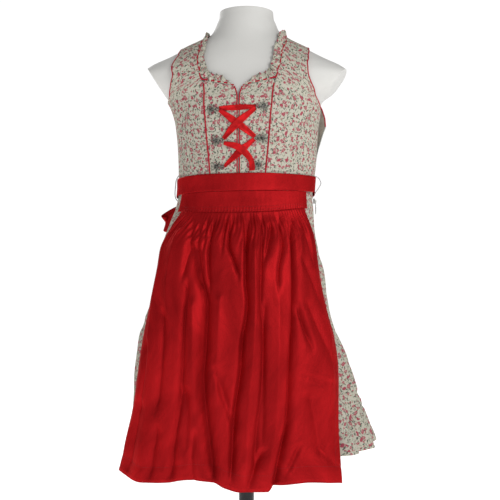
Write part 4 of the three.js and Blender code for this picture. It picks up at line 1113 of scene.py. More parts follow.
class DIRNDL_OT_ruffle(bpy.types.Operator):
    """Gather the frill along the neckline"""

    bl_idname = "dirndl.ruffle"
    bl_label = "Neck ruffle"

    def execute(self, context):
        waves = context.scene.dirndl_sizes.ruffle_waves
        turned = [(angle + 2 * math.pi, z) for angle, z in NECK_LEFT[1:]][::-1]
        run = [seen(-4.5, 833.5), seen(20, 840), seen(38, 844)] + NECK_RIGHT[1:]
        run += BACK_NECK_RIGHT[:5][::-1] + [behind(66, 876.5), behind(0, 874.5), behind(-62, 876.5)]
        run += BACK_NECK_LEFT[2:8] + turned
        run += [(a + 2 * math.pi, z) for a, z in (seen(-64, 842), seen(-46, 839), seen(-22.5, 833.5))]
        count = waves * 14 + 1
        places = paced(run, count, lambda p: cloth.point(p[:, 0], p[:, 1]))
        base = cloth.point(places[:, 0], places[:, 1], np.full(count, 0.8))
        smooth = np.stack([np.convolve(np.pad(base[:, k], 12, "edge"), np.ones(25) / 25, "valid")
                           for k in range(3)], -1)
        along = unit(np.gradient(smooth, axis=0))
        inward = unit(np.cross(cloth.normal(places[:, 0], places[:, 1]), along))
        phase = np.linspace(0, waves, count)
        random = np.random.default_rng(5)
        sway = np.interp(phase, np.arange(waves + 1), random.uniform(-0.22, 0.22, waves + 1))
        size = np.interp(phase, np.arange(waves + 1), random.uniform(0.7, 1.15, waves + 1))
        swing = np.cos(2 * math.pi * (phase + sway) + math.pi) * size
        end = np.minimum(phase, waves - phase)
        left_shoulder = np.exp(-(((places[:, 0] - 2 * math.pi + 68 * DEGREE) / 0.35) ** 2))
        tall = mix(0.15, 1, ease(end, 0, 2.2)) * (1 - 0.4 * left_shoulder)
        tall = tall * (0.92 + 0.1 * ripple(phase, 0, 6))
        lean = np.sin(2 * math.pi * (phase + sway)) * size
        rows = 9
        grid = []
        for k in range(rows):
            share = k / (rows - 1)
            reach = (RUFFLE_HEIGHT + RUFFLE_SEWN_IN) * share * tall - 0.4 + 0.5 * lean * share * tall
            beside_it = base + inward * reach[:, None] + along * (1.5 * lean * share)[:, None]
            angle, z = cloth.project(beside_it)
            height = mix(1.4, 4.6, share) + swing * mix(0.6, 3.5, share**0.7)
            grid.append(cloth.point(angle, z, height))
        obj = shell("ruffle_cloth", np.array(grid), RUFFLE_THICKNESS * MM, [finish("print")],
                    measured=rows - 2)
        dressed(obj, ["neck_ruffle"])
        length = lengths(np.array(grid), 1)[-1, -1] * MM
        height = (RUFFLE_HEIGHT + RUFFLE_SEWN_IN) * MM
        return {"FINISHED"}


# Hooks and lacing

HOOKS = {
    "top_left": (-58, 793, 1),
    "top_right": (29.3, 798, -1),
    "middle_left": (-52, 741, 1),
    "middle_right": (27.6, 745, -1),
    "low_left": (-50.2, 697.5, 1),
    "low_right": (20.8, 700, -1),
}
HOOK_CLEARANCE = 0.75
PETALS = 8


def hook_model(ring):
    """One flower hook, flat on its cloth, with its lacing ring to one side."""
    pieces = []

    def ringed(major, minor, at, stretch=(1, 1, 1), turn=0.0, segments=16):
        bpy.ops.object.select_all(action="DESELECT")
        bpy.ops.mesh.primitive_torus_add(
            major_radius=major * MM, minor_radius=minor * MM, major_segments=segments, minor_segments=6,
            location=tuple(k * MM for k in at), rotation=(0, 0, turn),
        )
        made = bpy.context.view_layer.objects.active
        made.scale = stretch
        pieces.append(settle(made, "wire"))

    def ball(radius, at, flat=0.7):
        bpy.ops.object.select_all(action="DESELECT")
        bpy.ops.mesh.primitive_uv_sphere_add(
            segments=12, ring_count=7, radius=radius * MM, location=tuple(k * MM for k in at)
        )
        made = bpy.context.view_layer.objects.active
        made.scale = (1, 1, flat)
        pieces.append(settle(made, "bead"))

    for k in range(PETALS):
        turn = 2 * math.pi * k / PETALS
        c, s = math.cos(turn), math.sin(turn)
        ringed(1.3, 0.42, (5.7 * c, 5.7 * s, 0.8), (2.3, 0.7, 1), turn, 16)
        ball(0.85, (8.6 * c, 8.6 * s, 0.85), 0.8)
        half = turn + math.pi / PETALS
        ball(0.5, (3.5 * math.cos(half), 3.5 * math.sin(half), 0.7), 0.9)
    ringed(2.5, 0.36, (0, 0, 0.9), segments=20)
    for k in range(6):
        turn = math.pi * k / 3
        ball(0.6, (1.6 * math.cos(turn), 1.6 * math.sin(turn), 1.1), 0.8)
    ball(1.0, (0, 0, 1.2), 0.8)
    ringed(3.0, 0.6, (ring * (HOOK_RADIUS + 0.9), 0, 0.75), segments=20)
    made = joined("hook_model", pieces)
    only(made)
    bpy.ops.object.shade_smooth_by_angle(angle=50 * DEGREE)
    made.data.materials.append(finish("old_silver"))
    return made


class DIRNDL_OT_hooks(bpy.types.Operator):
    """Model a flower hook and sew six on the front"""

    bl_idname = "dirndl.hooks"
    bl_label = "Hooks"

    def execute(self, context):
        models = {ring: hook_model(ring) for ring in (1, -1)}
        for name, (x, z, ring) in HOOKS.items():
            angle = float(cloth.angle_seen(x, z))
            out = Vector(cloth.normal(angle, z))
            across = Vector((0, 0, 1)).cross(out).normalized()
            up = out.cross(across)
            place = Vector(cloth.point(angle, z, CLOTH_WALL + HOOK_CLEARANCE)) * MM
            turn = Matrix((across, up, out)).transposed().to_4x4()
            mesh = models[ring].data.copy()
            mesh.name = f"flower_hook_{name}"
            mesh.transform(Matrix.Translation(place) @ turn)
            dressed(linked(f"flower_hook_{name}", mesh), [f"hook_{name}"])
        for model in models.values():
            bpy.data.objects.remove(model)
        return {"FINISHED"}


# Each run of the lacing: node, layer, and its places seen as x, z and share of width
LACING = {
    "lacing_top": (0, [(-45.5, 794, 0.6), (-15, 795.5, 0.8), (16, 797, 0.55)]),
    "lacing_cross_down_right": (1, [(-45, 792, 0.55), (-14.5, 769, 1.05), (14.5, 747, 0.6)]),
    "lacing_cross_down_left": (2, [(15, 794, 0.55), (-14.5, 770, 1.05), (-38, 744, 0.6)]),
    "lacing_low_right": (1, [(-37.5, 737, 0.5), (-12, 729, 1), (7, 709, 0.8), (9.5, 690, 0.8)]),
    "lacing_low_left": (0, [(13.5, 743, 0.55), (-9, 724, 1), (-26, 708, 0.7), (-37, 697, 0.4)]),
}
LACING_FIRST_LAYER = 2.45
LACING_STEP = 1.15


class DIRNDL_OT_lacing(bpy.types.Operator):
    """Lace the satin ribbon across the front"""

    bl_idname = "dirndl.lacing"
    bl_label = "Lacing"

    def execute(self, context):
        for number, (node, (layer, run)) in enumerate(LACING.items()):
            path = paced(run, 46)
            angle = cloth.angle_seen(path[:, 0], path[:, 1])
            lift = np.linspace(0, 1.5, len(angle)) if node == "lacing_low_right" else 0
            offset = LACING_FIRST_LAYER + layer * LACING_STEP + 0.6 + lift
            points = cloth.point(angle, path[:, 1], offset + 0 * angle)
            out = cloth.normal(angle, path[:, 1])
            along = unit(np.gradient(points, axis=0))
            tilt = 0.2 * np.cos(np.linspace(0, math.pi, len(angle)) * (1 + 0.25 * number) + 0.6 * number)
            side = np.cross(out, along) + out * tilt[:, None]
            obj = ribbon(node.replace("lacing", "satin"), points, side, path[:, 2] * RIBBON_WIDTH,
                         RIBBON_THICKNESS * MM, [finish("satin")], cup=0.7)
            dressed(obj, [node])
            length = lengths(points[None], 1)[0, -1]
        return {"FINISHED"}


# The skirt

FOLD_DEPTH = smooth_line([(SKIRT_HEM, 27), (312, 22), (429, 13), (515, 8), (593, 4), (640, 2), (WAIST, 0)])
SLIT_FOOT, SLIT_MOUTH, SLIT_START = 0.6, 5.8, 3.0
HEM_TURN = 26.0
SKIRT_GATHERS = 118

# Slanting creases of the skirt where it shows: place seen, half length, half width, depth, slope
SKIRT_CREASES = [
    (190, 268, 26, 4, 3.0, 22),
    (176, 252, 20, 4, 2.2, 14),
    (197, 292, 20, 5, 2.4, 40),
    (172, 322, 30, 6, 2.6, 66),
    (150, 372, 34, 5, 2.2, 72),
    (132, 440, 34, 5, 2.0, 76),
    (126, 520, 30, 5, 1.6, 80),
    (-196, 380, 30, 6, 2.4, 80),
    (-190, 430, 26, 5, 1.8, -70),
    (-150, 585, 22, 4, 1.4, 60),
]


def skirt_fold(angle):
    """The fold at an angle: 0 on a crest and up to 1 in a valley, uneven as cloth hangs."""
    drift = 0.9 * np.sin(2 * angle + 0.7) + 0.5 * np.sin(5 * angle + 2.1)
    wave = 0.5 - 0.5 * np.cos(SKIRT_FOLDS * angle + drift)
    return (0.72 + 0.28 * np.sin(3 * angle + 1.2) * np.cos(7 * angle)) * wave


def skirt_offset(angle, z):
    """How far the skirt's face stands off its sections."""
    folds = FOLD_DEPTH(z) * skirt_fold(angle)
    small = 0.1 * FOLD_DEPTH(z) * (0.5 + 0.5 * np.sin(53 * angle + 2.2 * np.sin(3 * angle) + z * 0.012))
    gathers = 1.3 * np.exp(-(((WAIST - z) / 42) ** 2)) + 0.7 * np.exp(-(((WAIST - z) / 110) ** 2))
    wave = SKIRT_GATHERS * angle + 5 * np.sin(4 * angle) + 2 * np.sin(11 * angle)
    gathers = gathers * (0.5 + 0.5 * np.sin(wave))
    place = cloth.base(angle, z)
    pressed = 1.7 * creased(place, SKIRT_CREASES)
    pressed = pressed + 0.6 * (1 + ripple(angle * 9, z * 0.03, 8)) * ease(z, SKIRT_HEM, 300)
    hem = 0.35 * (1 - ease(z, SKIRT_HEM + HEM_TURN - 1.5, SKIRT_HEM + HEM_TURN + 1.5))
    groove = 0.4 * np.exp(-(((z - SKIRT_HEM - HEM_TURN) / 2.2) ** 2))
    return CLOTH_WALL - folds - small - gathers - np.minimum(pressed, 6) + hem - groove


def spread_rows(low, high, count):
    """Heights from low to high that lie closer together near both ends."""
    t = np.linspace(0, 1, count)
    return low + (high - low) * (t - 0.4 * np.sin(2 * math.pi * t) / (2 * math.pi))


class DIRNDL_OT_skirt(bpy.types.Operator):
    """Gather the skirt and open its side seam to the zip"""

    bl_idname = "dirndl.skirt"
    bl_label = "Skirt"

    def execute(self, context):
        sizes = context.scene.dirndl_sizes
        columns, rows = 620, 72
        z = spread_rows(SKIRT_HEM, WAIST, rows)[:, None]
        open_height = WAIST - SLIDER_HEIGHT - SLIT_START + 5
        open_share = np.clip((z - SLIDER_HEIGHT - SLIT_START) / open_height, 0, 1)
        slit = np.where(z > SLIDER_HEIGHT + SLIT_START, mix(SLIT_FOOT, SLIT_MOUTH, open_share), 0)
        half = slit / cloth.right(z)
        t = np.linspace(0, 1, columns)[None]
        angle = ZIP_ANGLE * DEGREE + half + t * (2 * math.pi - 2 * half)
        z = z + 0 * angle
        grid = cloth.point(angle, z, skirt_offset(angle, z))
        obj = shell("skirt_cloth", grid, sizes.cloth_thickness, [finish("print"), finish("wrong_side")],
                    weld=True, measured=rows // 3)
        dressed(obj, ["skirt"])
        hem, height = lengths(grid, 1)[0, -1] * MM, lengths(grid, 0)[-1].mean() * MM

        turn = angle[0]
        level = np.full(turn.shape, SKIRT_HEM + HEM_TURN)
        line = cloth.point(turn, level, skirt_offset(turn, level) + 0.1)
        out = cloth.normal(turn, level)
        sewn = stitches("skirt_hem_stitches", line, out, finish("pale_thread"), pitch=3.4, length=2.3)
        dressed(sewn, [])
        return {"FINISHED"}


# The apron

BAND_X = [-125, -95, -62, -30, 0, 34, 80, 125]
tie_top = smooth_line(list(zip(BAND_X, [680.5, 684, 686.5, 687.5, 687.5, 687, 686, 685.5])))
tie_bottom = smooth_line(list(zip(BAND_X, [651, 653, 654.5, 655, 655.5, 656, 657, 657.5])))
gather_seam = smooth_line(list(zip(BAND_X, [622, 620, 618, 617.5, 618, 619.5, 625, 629])))
apron_left = smooth_line([
    (170, -217), (241, -202), (297, -190), (369, -179), (452, -166), (520, -152.5), (554, -148),
    (593, -131), (622, -114),
])
apron_right = smooth_line([
    (176, 155), (259, 151), (354, 153), (403, 148), (441, 138), (513, 123.5), (576, 117), (628, 102),
])
apron_hem = smooth_line([
    (-217, 176), (-173, 170), (-153, 173), (-127, 178), (-90, 187), (-54, 186), (-30, 177), (-8, 172),
    (34, 172), (44, 181), (92, 183), (148, 176), (157, 174),
])

# The apron's folds as seen: depth, width to the left and right of the line, and the line from its
# top down as x and z. A fold with a negative depth stands out.
APRON_FOLDS = [
    (8, 4, 9, [(-93, 617), (-95, 580), (-105, 504)]),
    (8, 6, 8, [(-82, 612), (-80, 586), (-83, 556)]),
    (6, 3, 5, [(-69, 614), (-69, 580), (-72, 546)]),
    (9, 2.5, 6, [(-56, 616), (-62, 548), (-59, 490)]),
    (17, 8, 9, [(-91, 560), (-81, 514), (-70, 489), (-65, 462), (-67, 401), (-70, 345), (-64, 274),
                (-52, 190)]),
    (9, 9, 7, [(-84, 560), (-78, 530), (-74, 500)]),
    (6, 3, 3, [(-35, 612), (-36, 589), (-39, 552)]),
    (10, 3, 3.5, [(-23, 612), (-29, 562), (-20, 535), (-12, 510)]),
    (13, 2.5, 7, [(-1, 614), (-1, 505), (2, 466), (-7, 402), (-9, 365), (-21, 275), (-24, 196)]),
    (6, 3, 4, [(25, 614), (26, 563), (25, 544), (23, 470), (27, 400), (24, 330), (16, 260), (12, 200)]),
    (8, 7, 5, [(44, 596), (38, 565), (29, 530)]),
    (7, 3, 4, [(54, 614), (60, 562), (52, 520), (50, 480)]),
    (14, 3, 7, [(75, 614), (76, 504), (75, 455), (72, 401), (69, 353), (66, 288), (51, 217), (41, 168)]),
    (8, 3, 5, [(87, 614), (105, 567), (112, 530)]),
    (10, 5, 7, [(-97, 500), (-102, 426), (-104, 360), (-110, 298), (-118, 240), (-122, 186)]),
    (9, 9, 9, [(-100, 330), (-96, 280), (-96, 230)]),
    (7, 4, 6, [(-137, 450), (-138, 400), (-141, 350), (-147, 290)]),
    (7, 6, 4, [(-166, 400), (-170, 338), (-176, 290)]),
    (9, 4, 9, [(-49, 364), (-40, 330), (-30, 303), (-21, 270)]),
    (5, 4, 5, [(30, 470), (28, 410), (28, 365), (25, 245)]),
    (9, 5, 3, [(85, 460), (94, 428), (106, 392)]),
    (5, 6, 8, [(92, 540), (110, 500), (128, 452)]),
    (5, 7, 9, [(100, 468), (120, 415), (147, 350)]),
    (9, 13, 12, [(104, 322), (112, 280), (120, 222)]),
    (5, 9, 5, [(92, 352), (120, 338), (146, 330)]),
    (8, 5, 8, [(-176, 300), (-186, 237), (-198, 178)]),
    (7, 4, 6, [(-146, 262), (-152, 220), (-156, 176)]),
    (6, 4, 5, [(-84, 262), (-86, 220), (-80, 168)]),
    (8, 5, 6, [(26, 236), (12, 205), (2, 172)]),
    (7, 6, 5, [(86, 240), (72, 214), (60, 196)]),
    (5, 10, 5, [(118, 236), (134, 216), (152, 200)]),
    (-6, 10, 8, [(-40, 480), (-44, 400), (-46, 320), (-40, 240), (-36, 180)]),
    (-5, 8, 6, [(14, 560), (14, 480), (12, 400), (4, 300), (0, 200)]),
    (-5, 9, 7, [(50, 500), (50, 400), (48, 300), (34, 200)]),
    (-5, 9, 7, [(-112, 590), (-122, 540), (-128, 480), (-124, 430)]),
    (-5, 7, 7, [(-84, 470), (-84, 420), (-82, 350), (-80, 300)]),
]
# How sharp the folds are at their lowest line: 2 is round and 1 a crease
FOLD_CRISPNESS = 1.35
HEM_LEVEL, HEM_FULLNESS = 176.0, 10.0
APRON_TOP_LEFT, APRON_TOP_RIGHT = -114, 102
APRON_GATHERS, APRON_BROAD_GATHERS = 44, 19
APRON_BULGE = 15
DEEPEST_FOLD = 16.5
APRON_HEM_TURN = 25.0
APRON_SIDE_TURN = 0.03


def apron_hem_at(across):
    """The hem's height at shares across the apron, by where the hem is seen from the front."""
    left = cloth.angle_seen(apron_left(HEM_LEVEL), HEM_LEVEL, BAND_OFFSET + 4)
    right = cloth.angle_seen(apron_right(HEM_LEVEL), HEM_LEVEL, BAND_OFFSET + 4)
    angle = mix(left, right, np.asarray(across))
    fullness = np.full(angle.shape, BAND_OFFSET + HEM_FULLNESS)
    return apron_hem(cloth.point(angle, HEM_LEVEL, fullness)[..., 0])


def fold_relief(x, z):
    """How far the apron's folds press it in, where it is seen at x and z."""
    pressed = 0.0
    for depth, left, right, line in APRON_FOLDS:
        across = smooth_line([(b, a) for a, b in line[::-1]])(z)
        top, foot = line[0][1], line[-1][1]
        fade = ease(z, foot - 16, foot + 22) * (1 - ease(z, top - 12, top + 8))
        grow = mix(1.25, 0.8, (z - 170) / 450)
        aside = (x - across) / (np.where(x < across, left, right) * grow)
        pressed = pressed + depth * fade * np.exp(-(np.abs(aside) ** FOLD_CRISPNESS))
    return pressed


def apron_grid(columns, rows, strength):
    across = np.linspace(0, 1, columns)[None]
    down = (1 - np.linspace(0, 1, rows) ** 0.9)[:, None]
    top = gather_seam(mix(APRON_TOP_LEFT, APRON_TOP_RIGHT, across)) + 0.8
    hem = apron_hem_at(across)
    z = mix(top, hem, down)
    left = cloth.angle_seen(apron_left(z), z, BAND_OFFSET + 4)
    right = cloth.angle_seen(apron_right(z), z, BAND_OFFSET + 4)
    angle = mix(left, right, across)
    x = cloth.point(angle, z, np.full(z.shape, BAND_OFFSET + 10))[..., 0]
    bulge = APRON_BULGE * np.sin(math.pi * np.minimum(0.5, 0.06 + 2.2 * down))
    fade = np.maximum(0, 1 - down * 6.5) ** 1.3
    drift = 3.1 * np.sin(9 * across + 1) + 1.7 * np.sin(23 * across)
    gathers = 3.4 * fade * (0.5 + 0.5 * np.sin(APRON_GATHERS * 2 * math.pi * across + drift))
    broad = 0.5 + 0.5 * np.sin(APRON_BROAD_GATHERS * 2 * math.pi * across + 2 * drift)
    gathers = gathers + 2.2 * np.maximum(0, 1 - down * 3.6) * broad
    soft = 1.2 * ripple(x * 0.09, z * 0.012, 21) + 0.6 * ripple(x * 0.22, z * 0.02, 22)
    soft = soft + 1.1 * np.abs(ripple(x * 0.07 + z * 0.02, z * 0.05 - x * 0.02, 23))
    pressed = np.minimum(fold_relief(x, z), DEEPEST_FOLD) * strength
    edge = np.minimum(1, np.minimum(across, 1 - across) / 0.07)
    start = np.minimum(1, down * 20)
    lift = (bulge - pressed - gathers + soft * ease(down, 0.02, 0.25)) * (0.35 + 0.65 * edge)
    near_hem = z - hem
    ridge = 0.35 * (1 - ease(near_hem, APRON_HEM_TURN - 1.5, APRON_HEM_TURN + 1.5))
    groove = 0.55 * np.exp(-(((near_hem - APRON_HEM_TURN) / 2.4) ** 2))
    offset = BAND_OFFSET + CLOTH_WALL + np.maximum(0, lift) * start + ridge - groove
    return cloth.point(angle, z, offset), angle, z


class DIRNDL_OT_apron(bpy.types.Operator):
    """Gather the apron over the skirt and sew its hems"""

    bl_idname = "dirndl.apron"
    bl_label = "Apron"

    def execute(self, context):
        sizes = context.scene.dirndl_sizes
        columns, rows = 400, 122
        grid, angle, z = apron_grid(columns, rows, sizes.fold_strength)
        obj = shell("apron_cloth", grid, sizes.taffeta_thickness, [finish("apron")])
        dressed(obj, ["apron_skirt"])
        width, height = lengths(grid, 1)[:, -1].max() * MM, lengths(grid, 0)[-1].mean() * MM

        hem = apron_hem_at(np.linspace(0, 1, columns))
        nearest = np.argmin(np.abs(z - (hem + APRON_HEM_TURN)[None]), axis=0)
        line = grid[nearest, np.arange(columns)]
        out = cloth.normal(angle[nearest, np.arange(columns)], z[nearest, np.arange(columns)])
        sides = []
        for column in (int(APRON_SIDE_TURN * columns), int((1 - APRON_SIDE_TURN) * columns)):
            sides.append((grid[4:-6, column], cloth.normal(angle[4:-6, column], z[4:-6, column])))
        sewn = [stitches("apron_hem_stitches", line + out * 0.1, out, finish("red_thread"))]
        for points, normals in sides:
            seam_line = points + normals * 0.1
            sewn.append(stitches("apron_side_stitches", seam_line, normals, finish("red_thread")))
        dressed(joined("apron_stitches", sewn), [])
        return {"FINISHED"}


WAISTBAND_ROWS = 30
# The two lines of gathering stitches, as shares of the waistband's height
GATHER_LINES = (0.12, 0.27)


def band_grid(start, end, columns, rows, low, high, slant=0.0, relief=None):
    """A band on the cloth between two angles in degrees, with a low and a high edge by x and share."""
    t = np.linspace(0, 1, columns)[None]
    up = np.linspace(0, 1, rows)[:, None]
    angle = mix(start * DEGREE, (end - slant * (1 - up)) * DEGREE, t)
    x = cloth.base(angle, WAIST)[..., 0]
    z = mix(low(x, t), high(x, t), up)
    offset = BAND_OFFSET + BAND_WALL + (relief(x, t, up) if relief else 0.0)
    return cloth.point(angle, z, offset + 0 * z), angle, z


def tie_relief(x, t, up):
    """Long soft folds of the tie and the turned layer at its left end."""
    wave = 0.35 * ripple(x * 0.05, up * 2.6, 31) + 0.2 * ripple(x * 0.16, up * 5, 32)
    edge = 0.35 * (np.exp(-((up / 0.05) ** 2)) + np.exp(-(((1 - up) / 0.05) ** 2)))
    layer = 0.45 * (1 - ease(x, -114, -112)) + 0.3 * ease(x, -56, -54)
    return np.clip(wave, -0.6, 0.35) - edge + layer


def waistband_relief(x, t, up):
    """Fine gathers that fade upwards over the waistband."""
    drift = 3 * np.sin(9 * t + 1)
    fine = 0.55 * (1 - ease(up, 0.0, 0.4)) * np.sin(52 * 2 * math.pi * t + drift)
    first, second = (np.exp(-(((up - line) / 0.02) ** 2)) for line in GATHER_LINES)
    rows = 0.3 * first + 0.25 * second
    return fine * 0.5 + 0.03 * np.sin(31 * 2 * math.pi * t) - rows - 0.15


class DIRNDL_OT_bands(bpy.types.Operator):
    """Wrap the waistband and the tie round the waist"""

    bl_idname = "dirndl.bands"
    bl_label = "Waistband and tie"

    def execute(self, context):
        thickness = context.scene.dirndl_sizes.taffeta_thickness
        left = float(cloth.angle_seen(-114, 640, BAND_OFFSET)) / DEGREE
        right = float(cloth.angle_seen(104, 640, BAND_OFFSET)) / DEGREE
        half = TIE_WIDTH / 2

        def fall(line, t):
            return mix(line, KNOT_HEIGHT, 0.75 * (np.maximum(0, 0.35 - t) / 0.35) ** 1.5)

        def back_middle(t):
            return mix(WAIST, KNOT_HEIGHT + 2, t**1.6)

        bands = [
            ("apron_waistband", "waistband_cloth", band_grid(
                left, right, 380, WAISTBAND_ROWS,
                lambda x, t: gather_seam(x),
                lambda x, t: tie_bottom(x) - 0.3,
                relief=waistband_relief)),
            ("tie_front", "tie_cloth_front", band_grid(
                KNOT_ANGLE - 351, 84, 420, 22,
                lambda x, t: fall(tie_bottom(x) + half, t) - half,
                lambda x, t: np.minimum(fall(tie_bottom(x) + half, t) + half, tie_top(x)),
                slant=7, relief=tie_relief)),
            ("tie_back", "tie_cloth_back", band_grid(
                88, KNOT_ANGLE - 9, 260, 22, lambda x, t: back_middle(t) - half,
                lambda x, t: back_middle(t) + half, relief=tie_relief)),
        ]
        for node, name, (grid, angle, z) in bands:
            obj = shell(name, grid, thickness, [finish("band")])
            dressed(obj, [node])
            width, height = lengths(grid, 1)[:, -1].max() * MM, lengths(grid, 0)[-1].max() * MM
            if node == "apron_waistband":
                for number, share in enumerate(GATHER_LINES):
                    row = int(share * (WAISTBAND_ROWS - 1))
                    out = cloth.normal(angle[row], z[row])
                    sewn = stitches(f"gather_stitches_{number}", grid[row] + out * 0.05, out,
                                    finish("red_thread"), pitch=2.6, length=1.7, radius=0.18)
                    dressed(sewn, [])
        return {"FINISHED"}


# The bow's loops and tails: the tie's middle line from the knot out, as x, distance behind the cloth, z
BOW_RUNS = {
    "bow_loop_left": [
        (-63, 5, 645), (-74, 7, 640), (-90, 12, 629), (-104, 22, 612), (-113, 36, 595), (-117, 47, 586),
        (-115, 54, 588), (-104, 48, 602), (-90, 34, 621), (-75, 18, 637), (-63, 10, 645),
    ],
    "bow_loop_right": [
        (-47, 5, 645), (-36, 6, 646), (-20, 8, 643), (8, 14, 637), (24, 21, 633), (27, 28, 632),
        (20, 33, 634), (-5, 30, 640), (-25, 21, 645), (-36, 14, 646), (-47, 10, 645),
    ],
    "bow_tail_left": [
        (-60, 5, 636), (-64, 10, 620), (-74, 17, 588), (-83, 17, 545), (-92, 18, 500), (-98, 19, 455),
    ],
    "bow_tail_right": [
        (-52, 9, 636), (-47, 13, 620), (-42, 17, 588), (-37, 18, 540), (-30, 18, 490), (-26, 18, 445),
    ],
}
KNOT_X, KNOT_DEPTH, KNOT_SIZE = -55, 7.6, (12, 9.4, 16)
LOOP_PINCH, TAIL_PINCH = 0.42, 0.3
BOW_COLUMNS = 17


def behind_cloth(x, depth, z):
    angle = math.pi - cloth.angle_seen(x, z)
    return cloth.point(angle, z, BAND_OFFSET + BAND_WALL + np.asarray(depth, float))


class DIRNDL_OT_bow(bpy.types.Operator):
    """Tie the bow behind the left side"""

    bl_idname = "dirndl.bow"
    bl_label = "Bow"

    def execute(self, context):
        thickness = context.scene.dirndl_sizes.taffeta_thickness
        for name, run in BOW_RUNS.items():
            loop = "loop" in name
            count = 110 if loop else 90
            x, depth, z = np.array(run, float).T
            points = paced(behind_cloth(x, depth, z), count)
            side = np.broadcast_to([0.1, 0, 1] if loop else [1, 0.15, 0], points.shape)
            along, side = frames_along(points, side)
            out = np.cross(along, side)
            t = np.linspace(0, 1, count)
            if loop:
                width = mix(LOOP_PINCH, 1, np.sin(math.pi * t) ** 0.6)
            else:
                width = mix(TAIL_PINCH, 1, t**0.5)
            s = np.linspace(-0.5, 0.5, BOW_COLUMNS)[:, None]
            # Pleats run out from the knot and fade.
            near = np.exp(-((np.minimum(t, 1 - t) if loop else t) / 0.16) ** 1.2)[None]
            pleat = 1.1 * near * np.cos(s * 6 * math.pi) + 0.5 * ripple(s * 5, t[None] * 9, 41 + len(name))
            slant = np.zeros((BOW_COLUMNS, count)) if loop else s * TIE_WIDTH * 0.35 * ease(t, 0.86, 1)[None]
            grid = points[None] + side[None] * (width * TIE_WIDTH)[None, :, None] * s[..., None]
            grid = grid + out[None] * pleat[..., None] + along[None] * slant[..., None]
            obj = shell(name.replace("bow", "bow_cloth"), grid, thickness, [finish("band")])
            dressed(obj, [name])
            length = lengths(points[None], 1)[0, -1] * MM

        bpy.ops.object.select_all(action="DESELECT")
        bpy.ops.mesh.primitive_uv_sphere_add(segments=64, ring_count=40, radius=1)
        knot = settle(bpy.context.view_layer.objects.active, "bow_cloth_knot")
        co = np.zeros(len(knot.data.vertices) * 3)
        knot.data.vertices.foreach_get("co", co)
        co = co.reshape(-1, 3)
        turn = np.arctan2(co[:, 1], co[:, 0])
        crease = 0.1 * np.cos(6 * co[:, 2] + 1.5 * np.sin(turn)) + 0.05 * np.cos(15 * co[:, 2] + turn)
        square = np.abs(co) ** 0.82 * np.sign(co)
        shaped = square * (0.93 + crease * (1 - co[:, 2] ** 4))[:, None] * np.array(KNOT_SIZE)
        centre = behind_cloth(np.array(float(KNOT_X)), KNOT_DEPTH, KNOT_HEIGHT)
        knot.data.vertices.foreach_set("co", ((shaped * 0.96 + centre) * MM).ravel())
        only(knot)
        bpy.ops.object.shade_smooth()
        knot.data.uv_layers[0].name = "cloth"
        knot.data.materials.append(finish("band"))
        dressed(knot, ["bow_knot"])
        return {"FINISHED"}


# The side zip

TAPE_WIDTH, TAPE_BESIDE, TAPE_THICKNESS = 4.5, 0.2, 0.6
TOOTH_PITCH = 1.6


def tooth_model():
    """One moulded tooth: a waisted block with rounded edges."""
    bpy.ops.object.select_all(action="DESELECT")
    bpy.ops.mesh.primitive_cube_add(size=1)
    tooth = bpy.context.view_layer.objects.active
    tooth.scale = (2.0 * MM, 0.75 * MM, 1.1 * MM)
    settle(tooth, "tooth")
    bpy.ops.object.mode_set(mode="EDIT")
    bpy.ops.mesh.select_mode(type="FACE")
    bpy.ops.mesh.select_all(action="DESELECT")
    edit = bmesh.from_edit_mesh(tooth.data)
    for face in edit.faces:
        face.select = face.normal.x > 0.9
    bmesh.update_edit_mesh(tooth.data)
    bpy.ops.mesh.extrude_region_move(TRANSFORM_OT_translate={"value": (0.6 * MM, 0, 0)})
    bpy.ops.transform.resize(value=(1, 1.25, 1.1))
    bpy.ops.object.mode_set(mode="OBJECT")
    apply(tooth, "BEVEL", width=0.12 * MM, segments=1)
    return tooth


